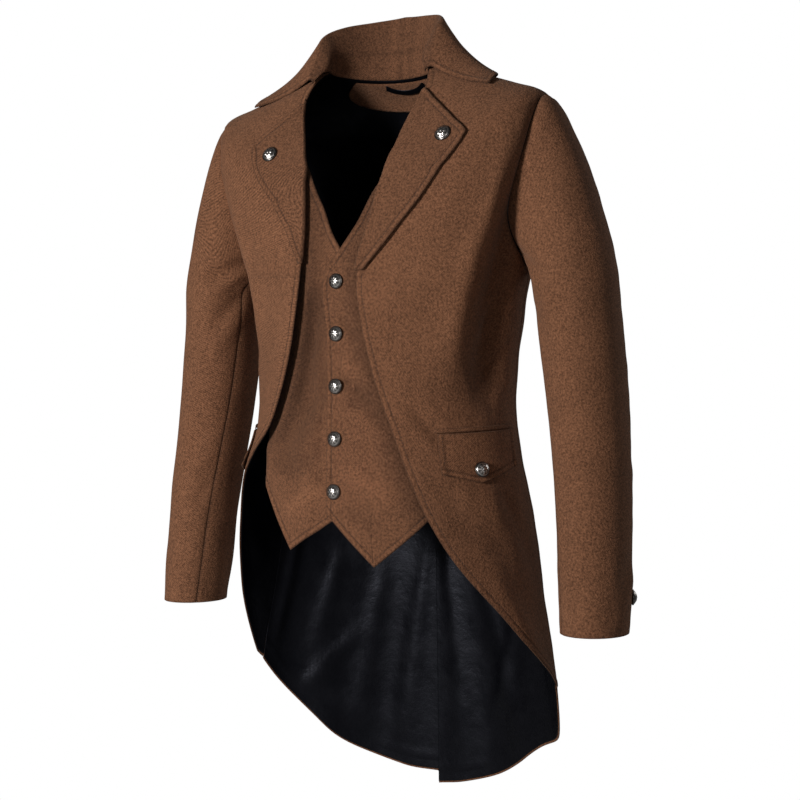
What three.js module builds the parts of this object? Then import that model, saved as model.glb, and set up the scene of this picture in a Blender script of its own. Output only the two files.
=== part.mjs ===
// A cutaway tailcoat with a false waistcoat front, worn shape, held open as a wearer would fill it.
// Millimetres. +Z is up, the wearer faces -Y, and the wearer's left is +X.
// The origin is the middle of the neck opening, level with the two ends of the shoulder seams at the neck.
import * as THREE from "three";

// ---------- driving dimensions ----------
const CLOTH = 2.0; // wall of the coat cloth
const LINING = 1.0; // wall of the lining
const SEAM = 0.3; // space left between two pieces that are sewn together
const UNDER_COAT = 0.6; // the lining's inner side, out from the body form
const SHELL_IN = UNDER_COAT + LINING + SEAM; // the coat cloth's inner side
const SHELL_OUT = SHELL_IN + CLOTH;
const ON_TOP = 1.2; // what lies loose on a panel clears its facets by this
const UNDER_FRONT = 2.6; // how far the waistcoat draws in where a coat front covers it
const BUTTON_RADIUS = 9;
const LAPEL_BUTTON_RADIUS = 10;
const BUTTON_HEIGHT = 6;

const SHOULDER_SEAM = 92; // degrees round the body from the middle of the front
const NECK = -78; // level of the neck ring
const SHOULDER = -152; // level where the armhole starts
const ARMHOLE_HALF = 52; // half of the armhole's height, in levels
const ARMHOLE_SPREAD = 25; // half of its width, degrees
const ARMHOLE_LEAN = 12; // how far its lowest point lies back, degrees
const UNDERARM = SHOULDER - 2 * ARMHOLE_HALF;
const VENT_TOP = -520;
const VENT_LAP = 8.5; // how far the right tail laps over the left one, degrees
const VENT_RAISE = 5; // how far outside the left tail it lies there
const TAIL_CORNER = 8; // how far a front's last row drops to meet the back's hem
const LIFT_SPAN = 28; // degrees from its free edge over which a front settles on the waistcoat

// The body form, a row for each ring from the neck down. A ring is a rounded oval: its level is the height of its
// middle front, side and back are the heights there, and width, front and back_y are reached from the origin.
const RINGS = [
  // level, side_z, back_z, half_width, front_y, back_y, widest_y, squareness
  [-78, 0, -3, 70, 48, 62, 4, 2.0],
  [-100, -17, -24, 122, 62, 92, 4, 2.05],
  [-128, -36, -54, 180, 76, 116, 5, 2.15],
  [-152, -50, -82, 214, 85, 126, 6, 2.3],
  [-178, -88, -120, 218, 90, 132, 8, 2.4],
  [-208, -150, -165, 204, 93, 136, 11, 2.4],
  [-238, -208, -215, 187, 94, 138, 15, 2.35],
  [-268, -262, -264, 174, 95, 139, 18, 2.3],
  [-300, -300, -300, 168, 95, 138, 19, 2.25],
  [-350, -350, -350, 162, 95, 135, 19, 2.2],
  [-400, -400, -400, 160, 96, 133, 18, 2.15],
  [-450, -450, -450, 165, 98, 134, 18, 2.15],
  [-505, -505, -505, 177, 100, 138, 18, 2.15],
  [-560, -560, -560, 187, 103, 141, 18, 2.15],
  [-640, -640, -640, 199, 106, 143, 19, 2.1],
  [-725, -725, -725, 213, 110, 146, 20, 2.1],
  [-900, -900, -900, 219, 112, 150, 20, 2.1],
];

// Edges of the panels: level, and degrees round the body.
const ROLL_AND_CUT_LEFT = [
  [-78, 80], [-88, 61], [-100, 39], [-126, 22], [-152, 16], [-200, 12.7], [-250, 10], [-317, 13.5], [-374, 19],
  [-443, 27.5], [-498, 33], [-536, 38], [-583, 47], [-636, 62], [-682, 77], [-726, 100],
];
const ROLL_AND_CUT_RIGHT = [
  [-78, 80], [-88, 58], [-100, 35.5], [-126, 17.8], [-152, 12.8], [-190, 11.5], [-240, 13.5], [-336, 20], [-397, 28],
  [-433, 35], [-462, 47], [-495, 61], [-535, 71], [-590, 79], [-650, 88], [-726, 103],
];
const SIDE_SEAM_LEFT = [[-256, 104], [-430, 104], [-740, 104]];
const SIDE_SEAM_RIGHT = [[-256, 104], [-430, 111], [-740, 106.5]];
const LAPEL_LEFT = [
  [-92, 54.5], [-103, 50.9], [-116, 48.1], [-130, 46.1], [-148, 44.8], [-166, 34.5], [-206, 23.6], [-250, 13],
];
const LAPEL_RIGHT = [
  [-90, 51], [-112, 46.2], [-126, 44.5], [-137, 42.9], [-145, 38.2], [-178, 23.8], [-203, 18.8], [-240, 14.5],
];
const LAPEL_TIP = 4; // the row of the tip in both
const VEST_EDGE_LEFT = [
  [-110, 31], [-152, 14], [-198, 6.4], [-223, 1.1], [-250, -5.3], [-316, -5], [-500, -3.4], [-600, -2],
];
const VEST_EDGE_RIGHT = [
  [-110, 30.5], [-130, 16.2], [-167, 6.8], [-204, 2.1], [-223, -1.2], [-260, -6], [-600, -6],
];
const VEST_SIDE_LEFT = [[-110, 40], [-250, 40], [-600, 47]];
const VEST_SIDE_RIGHT = [[-110, 36], [-250, 40], [-440, 44], [-500, 38.5], [-600, 36]];
// Hems: share of the way across the panel, level.
const VEST_HEM_LEFT = [[0, -528], [0.38, -587], [0.82, -535], [1, -515]];
const VEST_HEM_RIGHT = [[0, -522], [0.07, -528], [0.58, -573], [1, -499]];
// Hems of the tails: degrees round the body, level.
const TAIL_HEM_LEFT = [
  [104, -733], [108, -763], [116, -793], [133, -819], [147, -849], [158, -870], [171, -885], [180, -891],
];
const TAIL_HEM_RIGHT = [
  [106, -734], [119, -774], [132, -812], [142, -841], [154, -862], [166, -874], [180, -877], [190, -877],
];

// The sleeve below the armhole: a row for each oval ring of the left arm.
const SLEEVE_RINGS = [
  // z, centre_x, centre_y, half_across, half_deep
  [-262, 246, 28, 49, 55],
  [-330, 253, 30, 47.5, 54],
  [-397, 260, 30, 45.5, 52.5],
  [-470, 268, 25, 43.5, 50.5],
  [-545, 274, 17, 41.5, 48.5],
  [-610, 277, 11, 39.5, 46.5],
  [-657, 279, 6, 37.5, 44.5],
];
// Where the seams run along the arm: z, degrees round the sleeve from its outer side towards the front.
const SLEEVE_FRONT_SEAM = [[0, 158], [-262, 155], [-397, 149], [-530, 140], [-657, 133]];
const SLEEVE_BACK_SEAM = -45;

// The collar, a row from the middle of the back to its front end.
const COLLAR = [
  // share, seam_angle, seam_level, ridge_rise, ridge_out, free_angle, free_level, foot_lift, foot_inset
  [0, 180, -78, 81, 5, 180, -98, 0, 1.8],
  [0.25, 149, -78, 76, 4, 148, -100, 0, 1.8],
  [0.5, 117, -78, 66, 5, 118, -107, 0, 1.8],
  [0.7, 92, -78, 51, 11, 95, -114, 0.5, 2.4],
  [0.87, 77, -79, 27, 12, 80, -119, 7, 2.4],
  [1, 65, -85, 12, 6, 71, -122, 7.5, 0],
];

const FALL_HOLLOW = 4; // how far the fall draws in between its ridge and its free edge

// ---------- materials ----------
const brown = new THREE.MeshStandardMaterial({ color: 0x573a24, roughness: 0.85, metalness: 0 });
const black = new THREE.MeshStandardMaterial({ color: 0x0c0c10, roughness: 0.45, metalness: 0 });
const silver = new THREE.MeshStandardMaterial({ color: 0x9a958c, roughness: 0.35, metalness: 0.9 });

// ---------- helpers ----------
const clamp01 = (t) => Math.min(1, Math.max(0, t));
const mix = (a, b, t) => a + (b - a) * t;
const smooth = (t) => clamp01(t) ** 2 * (3 - 2 * clamp01(t));
const radians = (degrees) => (degrees * Math.PI) / 180;

// Smooth curve through a table's rows: a cubic between two rows, with the mean of the slopes on each side of a row.
function follow(table, at, column = 1) {
  const last = table.length - 1;
  const rising = table[last][0] > table[0][0];
  let i = 0;
  while (i < last - 1 && (rising ? at > table[i + 1][0] : at < table[i + 1][0])) i++;
  const slope = (k) => (table[k + 1][column] - table[k][column]) / (table[k + 1][0] - table[k][0]);
  const tangent = (k) => {
    if (k === 0) return slope(0);
    if (k === last) return slope(last - 1);
    return (slope(k - 1) + slope(k)) / 2;
  };
  const width = table[i + 1][0] - table[i][0];
  const t = clamp01((at - table[i][0]) / width);
  const t2 = t * t;
  const t3 = t2 * t;
  return (
    (2 * t3 - 3 * t2 + 1) * table[i][column] +
    (t3 - 2 * t2 + t) * width * tangent(i) +
    (3 * t2 - 2 * t3) * table[i + 1][column] +
    (t3 - t2) * width * tangent(i + 1)
  );
}

// Straight lines through a table's rows, for an outline with corners.
function along(table, at) {
  let i = 0;
  while (i < table.length - 2 && at > table[i + 1][0]) i++;
  const t = clamp01((at - table[i][0]) / (table[i + 1][0] - table[i][0]));
  return mix(table[i][1], table[i + 1][1], t);
}

// A point of the body form at an angle and level.
function formPoint(angle, level) {
  const [sideZ, backZ, halfWidth, front, back, widest, squareness] = [1, 2, 3, 4, 5, 6, 7].map((c) =>
    follow(RINGS, level, c),
  );
  const c = Math.cos(radians(angle));
  const s = Math.sin(radians(angle));
  const r = (Math.abs(c) ** squareness + Math.abs(s) ** squareness) ** (-1 / squareness);
  const depth = c > 0 ? front + widest : back - widest;
  const endZ = c > 0 ? level : backZ;
  return new THREE.Vector3(halfWidth * s * r, widest - depth * c * r, endZ * c * c + sideZ * s * s);
}

// The form's outward direction there.
function formNormal(angle, level) {
  const across = formPoint(angle + 0.06, level).sub(formPoint(angle - 0.06, level));
  const down = formPoint(angle, level - 0.05).sub(formPoint(angle, level + 0.05));
  return down.cross(across).normalize();
}

const onForm = (angle, level, out) =>
  formPoint(angle, level).addScaledVector(formNormal(angle, level), out);

// A mesh from triangles of points, with shared points joined by index.
function closedMesh(name, points, faces, material) {
  const geometry = new THREE.BufferGeometry();
  geometry.setAttribute(
    "position",
    new THREE.Float32BufferAttribute(points.flatMap((p) => [p.x, p.y, p.z]), 3),
  );
  let volume = 0;
  for (const [a, b, c] of faces)
    volume += points[a].dot(new THREE.Vector3().crossVectors(points[b], points[c]));
  geometry.setIndex(faces.flatMap(([a, b, c]) => (volume > 0 ? [a, b, c] : [a, c, b])));
  geometry.computeVertexNormals();
  const mesh = new THREE.Mesh(geometry, material);
  mesh.name = name;
  return mesh;
}

// A cloth wall: place(i, j, side) gives the point of row i and column j on side 0 (in) or 1 (out).
function clothWall(name, rows, columns, place, material) {
  const points = [];
  const at = (i, j, side) => (side * (rows + 1) + i) * (columns + 1) + j;
  for (const side of [0, 1])
    for (let i = 0; i <= rows; i++) for (let j = 0; j <= columns; j++) points.push(place(i, j, side));
  const faces = [];
  const quad = (a, b, c, d) => faces.push([a, b, c], [a, c, d]);
  for (let i = 0; i < rows; i++)
    for (let j = 0; j < columns; j++) {
      quad(at(i, j, 1), at(i + 1, j, 1), at(i + 1, j + 1, 1), at(i, j + 1, 1));
      faces.push([at(i, j, 0), at(i + 1, j + 1, 0), at(i + 1, j, 0)]);
      faces.push([at(i, j, 0), at(i, j + 1, 0), at(i + 1, j + 1, 0)]);
    }
  for (let i = 0; i < rows; i++) {
    quad(at(i, 0, 0), at(i + 1, 0, 0), at(i + 1, 0, 1), at(i, 0, 1));
    quad(at(i, columns, 1), at(i + 1, columns, 1), at(i + 1, columns, 0), at(i, columns, 0));
  }
  for (let j = 0; j < columns; j++) {
    quad(at(0, j, 1), at(0, j + 1, 1), at(0, j + 1, 0), at(0, j, 0));
    quad(at(rows, j, 0), at(rows, j + 1, 0), at(rows, j + 1, 1), at(rows, j, 1));
  }
  return closedMesh(name, points, faces, material);
}

// ---------- edges ----------
const SIDES = {
  left: {
    sign: 1, inner: ROLL_AND_CUT_LEFT, seam: SIDE_SEAM_LEFT, lift: 5, lapel: LAPEL_LEFT, hem: TAIL_HEM_LEFT,
    vestEdge: VEST_EDGE_LEFT, vestSide: VEST_SIDE_LEFT, vestHem: VEST_HEM_LEFT, vestOut: 0,
    flapFrom: 44.5, flapTo: 92.5, lapelButton: [-138, 38.8],
  },
  right: {
    sign: -1, inner: ROLL_AND_CUT_RIGHT, seam: SIDE_SEAM_RIGHT, lift: 6, lapel: LAPEL_RIGHT, hem: TAIL_HEM_RIGHT,
    vestEdge: VEST_EDGE_RIGHT, vestSide: VEST_SIDE_RIGHT, vestHem: VEST_HEM_RIGHT, vestOut: -CLOTH - 2 * SEAM,
    flapFrom: 58, flapTo: 107, lapelButton: [-135, 32.5],
  },
};

// Degrees round the body of the armhole's edge at a turn of its oval: 0 is its top and 180 its lowest point.
const armholeLevel = (turn) => SHOULDER - ARMHOLE_HALF + ARMHOLE_HALF * Math.cos(radians(turn));
function armholeAngle(turn, towardsBack) {
  const dropped = (1 - Math.cos(radians(turn))) / 2;
  const spread = ARMHOLE_SPREAD * Math.sin(radians(turn));
  return SHOULDER_SEAM + ARMHOLE_LEAN * dropped ** 1.5 + towardsBack * spread;
}

// The outer edge of a front (towardsBack -1) or a back (+1) at a level.
function outerEdge(side, level, towardsBack) {
  if (level > SHOULDER) return SHOULDER_SEAM;
  if (level < UNDERARM) return follow(side.seam, level);
  const turn = (Math.acos(Math.max(-1, Math.min(1, (level - SHOULDER) / ARMHOLE_HALF + 1))) * 180) / Math.PI;
  return armholeAngle(turn, towardsBack);
}

// How far the fronts stand off the waistcoat: most at their free edge, between the chest and the hip.
function frontLift(side, angle, level) {
  const fromEdge = (angle - follow(side.inner, level)) / LIFT_SPAN;
  const toSeam = smooth((outerEdge(side, level, -1) - angle) / 24);
  const reach = smooth((-level - 190) / 120) * smooth((760 + level) / 120) * toSeam;
  return side.lift * reach * (1 - smooth(fromEdge)) + 1.5 * (1 - smooth(fromEdge * 2)) * smooth((-level - 90) / 40);
}

const ARMHOLE_LEVELS = [20, 42, 68, 96, 125, 155].map(armholeLevel);
const SHOULDER_LEVELS = [NECK, -88, -103, -126, SHOULDER];
const BODY_LEVELS = [UNDERARM, -300, -350, -400, -450, -505];

// ---------- panels ----------
// The same panel with its last row drawn back towards the row above it, so that a lining keeps its panel's facets.
const shortened = (place, rows, share) => (i, j, wall) =>
  i < rows ? place(i, j, wall) : place(rows, j, wall).lerp(place(rows - 1, j, wall), share);

// A coat front or its lining: rows from the neck to the tail corner, from the roll or cut edge to the outer seam.
function frontPanel(name, side, from, to, inset, material) {
  const levels = [...SHOULDER_LEVELS, ...ARMHOLE_LEVELS, ...BODY_LEVELS, -555, -600, -645, -686, -726];
  const rows = levels.length - 1;
  const columns = 7;
  const place = (i, j, wall) => {
    const start = follow(side.inner, levels[i]);
    const end = outerEdge(side, levels[i], -1) - 0.12;
    const angle = mix(start, end, (j / columns) ** 1.15);
    const out = (wall ? to : from) + frontLift(side, angle, levels[i]);
    const corner = i === rows ? -TAIL_CORNER * (j / columns) : 0;
    return onForm(side.sign * angle, levels[i] + corner, out);
  };
  return clothWall(name, rows, columns, shortened(place, rows, inset / 40), material);
}

// A back or its lining: the hem is a curve, so the last rows share out the length left below the vent's top.
function backPanel(name, side, from, to, inset, material) {
  const right = side.sign < 0;
  const levels = [...SHOULDER_LEVELS, ...ARMHOLE_LEVELS, ...BODY_LEVELS, VENT_TOP, VENT_TOP - 15];
  const tailRows = 4;
  const columns = 7;
  const lastLevel = VENT_TOP - 15;
  const rows = levels.length - 1 + tailRows;
  const place = (i, j, wall) => {
    const share = j / columns;
    const below = Math.max(0, i - levels.length + 1) / tailRows;
    const centre = right && i >= levels.length - 1 ? 180 + VENT_LAP : 179.88;
    const edgeAt = (level) => outerEdge(side, level, 1) + 0.12;
    let level = levels[Math.min(i, levels.length - 1)];
    let angle = mix(edgeAt(level), centre, share);
    if (below > 0) {
      level = mix(lastLevel, follow(side.hem, angle), below);
      angle = mix(edgeAt(level), centre, share);
    }
    const raise = right && level <= VENT_TOP ? VENT_RAISE * smooth((angle - 146) / 20) : 0;
    return onForm(side.sign * angle, level, (wall ? to : from) + raise);
  };
  return clothWall(name, rows, columns, shortened(place, rows, inset / 80), material);
}

// A false waistcoat front: an edge that crosses the middle, and a hem with one point.
function vestPanel(name, side) {
  const levels = [-112, -135, -160, -190, -220, -250, -300, -350, -400, -450];
  const hemRows = 3;
  const columns = 8;
  const shares = side.sign > 0
    ? [0, 0.12, 0.25, 0.38, 0.5, 0.62, 0.74, 0.86, 1]
    : [0, 0.07, 0.2, 0.33, 0.46, 0.58, 0.72, 0.86, 1];
  return clothWall(name, levels.length - 1 + hemRows, columns, (i, j, wall) => {
    const below = Math.max(0, i - levels.length + 1) / hemRows;
    const level = below > 0 ? mix(-450, along(side.vestHem, shares[j]), below) : levels[i];
    const angle = mix(follow(side.vestEdge, level), follow(side.vestSide, level), shares[j]);
    const lap = side.sign < 0 ? side.vestOut * smooth((12 - angle) / 5) : 0;
    const tuck = UNDER_FRONT * smooth((angle - follow(side.inner, level) + 3) / 8);
    return onForm(side.sign * angle, level, lap - tuck - (wall ? 0 : CLOTH));
  }, brown);
}

// A lapel, turned back on its front from the roll line out to its own edge.
function lapelPanel(name, side) {
  const first = side.lapel[0][0];
  const last = side.lapel.at(-1)[0];
  const tip = side.lapel[LAPEL_TIP][0];
  const levels = [first, -103, -116, -130, tip, mix(tip, last, 0.14), mix(tip, last, 0.32), mix(tip, last, 0.54),
    mix(tip, last, 0.77), last];
  const columns = 5;
  return clothWall(name, levels.length - 1, columns, (i, j, wall) => {
    const level = levels[i];
    const outer = along(side.lapel.map(([l, a]) => [-l, a]), -level);
    const angle = mix(follow(side.inner, level), outer, j / columns);
    const out = SHELL_OUT + ON_TOP + frontLift(side, angle, level) + (wall ? CLOTH : 0);
    return onForm(side.sign * angle, level, out);
  }, brown);
}

// The collar's profile at a share of the way from the middle back to the front end, and its t along the profile:
// up the stand to the ridge, then over and down to the free edge that lies on the coat.
function collarPoint(share, t) {
  const end = Math.abs(share);
  const sign = share < 0 ? -1 : 1;
  const [seamAngle, seamLevel, rise, out, freeAngle, freeLevel, footLift, footInset] = [1, 2, 3, 4, 5, 6, 7, 8].map(
    (c) => follow(COLLAR, end, c),
  );
  const seam = formPoint(seamAngle, seamLevel);
  const outward = new THREE.Vector3(seam.x, seam.y - 4, 0).normalize();
  const foot = onForm(seamAngle, seamLevel, footLift).addScaledVector(outward, -footInset);
  const ridge = seam.clone().addScaledVector(outward, out).add(new THREE.Vector3(0, 0, rise));
  const free = onForm(freeAngle, freeLevel, SHELL_OUT + ON_TOP + 3);
  const fold = 0.46;
  let p;
  if (t < fold) {
    const k = t / fold;
    p = foot.clone().lerp(ridge, k);
    p.addScaledVector(outward, -out * 0.55 * Math.sin(Math.PI * k));
  } else {
    const k = (t - fold) / (1 - fold);
    p = ridge.clone().lerp(free, k);
    p.addScaledVector(outward, -FALL_HOLLOW * Math.sin(Math.PI * k));
    p.z -= FALL_HOLLOW * Math.sin(Math.PI * k);
  }
  p.x *= sign;
  return p;
}

function collar() {
  const around = 20;
  const profile = [0, 0.1, 0.22, 0.34, 0.43, 0.49, 0.56, 0.7, 0.85, 1];
  const step = 0.004;
  return clothWall("collar", profile.length - 1, around, (i, j, wall) => {
    const share = mix(-1, 1, j / around);
    const t = profile[i];
    const p = collarPoint(share, t);
    const across = collarPoint(Math.min(1, share + step), t).sub(collarPoint(Math.max(-1, share - step), t));
    const up = collarPoint(share, Math.min(1, t + 0.02)).sub(collarPoint(share, Math.max(0, t - 0.02)));
    const normal = across.cross(up).normalize();
    return p.addScaledVector(normal, wall ? CLOTH / 2 : -CLOTH / 2);
  }, brown);
}

// The half-moon of cloth inside the back neck, and the loop that hangs on it.
function backNeckFacing() {
  const halfSpan = 50;
  return clothWall("back_neck_facing", 3, 10, (i, j, wall) => {
    const turn = mix(-1, 1, j / 10);
    const depth = 4 + 27 * Math.sqrt(Math.max(0, 1 - turn * turn));
    return onForm(180 + halfSpan * turn, -80 - (depth * i) / 3, wall ? -ON_TOP : -ON_TOP - LINING);
  }, brown);
}

function hangerLoop() {
  const halfSpan = 19;
  const inner = -ON_TOP - LINING - 2 * SEAM;
  return clothWall("hanger_loop", 1, 8, (i, j, wall) => {
    const turn = mix(-1, 1, j / 8);
    const sag = 5 * (1 - turn * turn);
    return onForm(180 + halfSpan * turn, -81 - sag - 5 * i, wall ? inner : inner - 1.2 - 0.25 * sag);
  }, black);
}

// A pocket flap on its front, with a blunt point, and the welt that it hangs from.
function flapPanel(name, side) {
  const columns = 6;
  return clothWall(name, 3, columns, (i, j, wall) => {
    const share = j / columns;
    const top = -436 + 5 * share;
    const bottom = along([[0, -482], [0.4, -492], [1, -474]], share);
    const level = mix(top, bottom, i / 3);
    const angle = mix(side.flapFrom, side.flapTo, share) - 3.5 * share * (i / 3);
    const out = SHELL_OUT + ON_TOP + frontLift(side, angle, level) + 1.2 * (i / 3) + (wall ? CLOTH : 0);
    return onForm(side.sign * angle, level, out);
  }, brown);
}

function weltPanel(name, side) {
  const columns = 6;
  return clothWall(name, 1, columns, (i, j, wall) => {
    const share = j / columns;
    const level = -434.8 + 5 * share + 5 * (1 - i);
    const angle = mix(side.flapFrom - 1.2, side.flapTo + 0.8, share);
    const out = SHELL_OUT + ON_TOP + frontLift(side, angle, level) + (wall ? 1.4 : 0);
    return onForm(side.sign * angle, level, out);
  }, brown);
}

// ---------- sleeves ----------
// A point of the left sleeve: turn is degrees round it from the outer side to the front, v is 0 at the armhole,
// 1 at the first ring of the arm and up to 2 at the hem.
function sleevePoint(turn, v) {
  const c = Math.cos(radians(turn));
  const s = Math.sin(radians(turn));
  const ringAt = (z) => {
    const [x, y, across, deep] = [1, 2, 3, 4].map((column) => follow(SLEEVE_RINGS, z, column));
    return new THREE.Vector3(x + across * c, y - deep * s, z);
  };
  const top = SLEEVE_RINGS[0][0];
  const hem = SLEEVE_RINGS.at(-1)[0];
  if (v >= 1) return ringAt(mix(top, hem, v - 1));
  const round = ((turn % 360) + 360) % 360;
  const back = round > 180;
  const ovalTurn = back ? 360 - round : round;
  const inset = 2.6;
  const level = armholeLevel(ovalTurn) - inset * Math.cos(radians(ovalTurn));
  const angle = armholeAngle(ovalTurn, back ? 1 : -1) + (back ? -1 : 1) * Math.sin(radians(ovalTurn));
  const start = onForm(angle, level, SHELL_IN + CLOTH / 2);
  const end = ringAt(top);
  const over = (1 + c) / 2;
  const leave = new THREE.Vector3(8 + 66 * over, -12 * s, -10 - 18 * s * s + 6 * over);
  const arrive = new THREE.Vector3(3 + 10 * over, 0, -25 - 135 * over);
  const k2 = v * v;
  const k3 = k2 * v;
  return start
    .multiplyScalar(2 * k3 - 3 * k2 + 1)
    .addScaledVector(leave, k3 - 2 * k2 + v)
    .addScaledVector(end, 3 * k2 - 2 * k3)
    .addScaledVector(arrive, k3 - k2);
}

function sleevePanel(name, sign, fromSeam, toSeam, columns) {
  const steps = [0, 0.22, 0.46, 0.72, 1, 1.17, 1.34, 1.56, 1.78, 2];
  return clothWall(name, steps.length - 1, columns, (i, j, wall) => {
    const v = steps[i];
    const z = v < 1 ? mix(0, SLEEVE_RINGS[0][0], v) : mix(SLEEVE_RINGS[0][0], SLEEVE_RINGS.at(-1)[0], v - 1);
    const turn = mix(fromSeam(z), toSeam(z), j / columns);
    const p = sleevePoint(turn, v);
    const round = sleevePoint(turn + 0.5, v).sub(sleevePoint(turn - 0.5, v));
    const down = sleevePoint(turn, Math.min(2, v + 0.005)).sub(sleevePoint(turn, Math.max(0, v - 0.005)));
    const normal = round.cross(down).normalize();
    if (normal.dot(new THREE.Vector3(Math.cos(radians(turn)), -Math.sin(radians(turn)), 0.2)) < 0) normal.negate();
    p.addScaledVector(normal, wall ? 0 : -CLOTH);
    p.x *= sign;
    return p;
  }, brown);
}

const frontSeam = (z) => follow(SLEEVE_FRONT_SEAM, z);
const seamGap = 0.25; // degrees on each side of a sleeve seam

// ---------- buttons ----------
// A domed button with a turned rim, on its flat back; its axis is the surface's outward direction.
function button(name, base, normal, r = BUTTON_RADIUS) {
  const h = BUTTON_HEIGHT;
  const profile = [
    [0, 0], [r * 0.8, 0], [r, h * 0.22], [r * 0.97, h * 0.38], [r * 0.8, h * 0.62], [r * 0.5, h * 0.88], [0, h],
  ].map(([x, y]) => new THREE.Vector2(x, y));
  const mesh = new THREE.Mesh(new THREE.LatheGeometry(profile, 12), silver);
  mesh.name = name;
  mesh.quaternion.setFromUnitVectors(new THREE.Vector3(0, 1, 0), normal);
  mesh.position.copy(base);
  return mesh;
}

function buttonOnForm(name, angle, level, out, r) {
  return button(name, onForm(angle, level, out), formNormal(angle, level), r);
}

function cuffButton(name, sign) {
  const turn = -32;
  const v = 1 + (SLEEVE_RINGS[0][0] + 618) / (SLEEVE_RINGS[0][0] - SLEEVE_RINGS.at(-1)[0]);
  const p = sleevePoint(turn, v);
  const round = sleevePoint(turn + 0.5, v).sub(sleevePoint(turn - 0.5, v));
  const normal = round.cross(new THREE.Vector3(0, 0, -1)).normalize();
  if (normal.x < 0) normal.negate();
  p.addScaledVector(normal, 0.9);
  p.x *= sign;
  normal.x *= sign;
  return button(name, p, normal);
}

// ---------- the coat ----------
const coat = new THREE.Group();
for (const [word, side] of Object.entries(SIDES)) {
  coat.add(frontPanel("front_" + word, side, SHELL_IN, SHELL_OUT, 0, brown));
  coat.add(frontPanel("lining_front_" + word, side, UNDER_COAT, UNDER_COAT + LINING, 4, black));
  coat.add(backPanel("back_" + word, side, SHELL_IN, SHELL_OUT, 0, brown));
  coat.add(backPanel("lining_back_" + word, side, UNDER_COAT, UNDER_COAT + LINING, 4, black));
  coat.add(vestPanel("vest_" + word, side));
  coat.add(lapelPanel("lapel_" + word, side));
  coat.add(flapPanel("flap_" + word, side));
  coat.add(weltPanel("pocket_welt_" + word, side));
  coat.add(sleevePanel("sleeve_top_" + word, side.sign, () => SLEEVE_BACK_SEAM + seamGap,
    (z) => frontSeam(z) - seamGap, 9));
  coat.add(sleevePanel("sleeve_under_" + word, side.sign, (z) => frontSeam(z) + seamGap,
    () => 360 + SLEEVE_BACK_SEAM - seamGap, 7));
  coat.add(cuffButton("cuff_button_" + word, side.sign));
  const [lapelLevel, lapelAngle] = side.lapelButton;
  const lapelOut = SHELL_OUT + ON_TOP + CLOTH + 0.6 + frontLift(side, lapelAngle, lapelLevel);
  coat.add(buttonOnForm("lapel_button_" + word, side.sign * lapelAngle, lapelLevel, lapelOut, LAPEL_BUTTON_RADIUS));
  const flapAngle = mix(side.flapFrom, side.flapTo, 0.4) - 1;
  const flapOut = SHELL_OUT + ON_TOP + CLOTH + 2.6 + frontLift(side, flapAngle, -477);
  coat.add(buttonOnForm("flap_button_" + word, side.sign * flapAngle, -477, flapOut));
}
coat.add(collar());
coat.add(backNeckFacing());
coat.add(hangerLoop());
for (let k = 0; k < 5; k++) coat.add(buttonOnForm("vest_button_" + (k + 1), 0.3, -260 - 60.7 * k, 0.5));

export default coat;
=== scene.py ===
"""A cutaway tailcoat with a false waistcoat front, as cloth on the hollow form that a wearer would fill.

Tables and functions are in millimetres and degrees, and make_object() puts the points into metres. +Z is up,
the wearer faces -Y and the wearer's left is +X. An angle goes round the body from the middle of the front,
positive to the wearer's left. A level is the height of a ring's middle front.
"""

import bpy
import numpy as np
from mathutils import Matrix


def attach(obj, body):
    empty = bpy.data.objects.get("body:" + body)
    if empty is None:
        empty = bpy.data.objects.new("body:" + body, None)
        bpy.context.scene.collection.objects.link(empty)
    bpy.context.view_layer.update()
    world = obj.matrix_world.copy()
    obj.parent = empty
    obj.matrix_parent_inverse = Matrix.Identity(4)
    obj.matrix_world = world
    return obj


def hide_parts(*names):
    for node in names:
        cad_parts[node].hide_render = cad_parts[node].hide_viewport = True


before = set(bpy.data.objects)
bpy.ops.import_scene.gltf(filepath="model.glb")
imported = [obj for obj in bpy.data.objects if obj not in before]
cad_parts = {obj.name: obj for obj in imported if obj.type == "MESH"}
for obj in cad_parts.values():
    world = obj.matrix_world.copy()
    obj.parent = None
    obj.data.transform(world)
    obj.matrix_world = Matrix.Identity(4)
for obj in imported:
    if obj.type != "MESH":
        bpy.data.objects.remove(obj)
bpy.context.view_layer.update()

# ---------- the cut: the same edges as the solids ----------
CLOTH = 2.0
LINING = 1.0
SEAM = 0.3
UNDER_COAT = 0.6
SHELL_IN = UNDER_COAT + LINING + SEAM
SHELL_OUT = SHELL_IN + CLOTH
ON_TOP = 1.2
UNDER_FRONT = 2.6
NECK = -78
SHOULDER_SEAM = 92
SHOULDER = -152
ARMHOLE_HALF = 52
ARMHOLE_SPREAD = 25
ARMHOLE_LEAN = 12
UNDERARM = SHOULDER - 2 * ARMHOLE_HALF
VENT_TOP = -520
VENT_LAP = 8.5
VENT_RAISE = 5
LIFT_SPAN = 28
TAIL_CORNER = 8
LAPEL_TIP = 4

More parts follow.
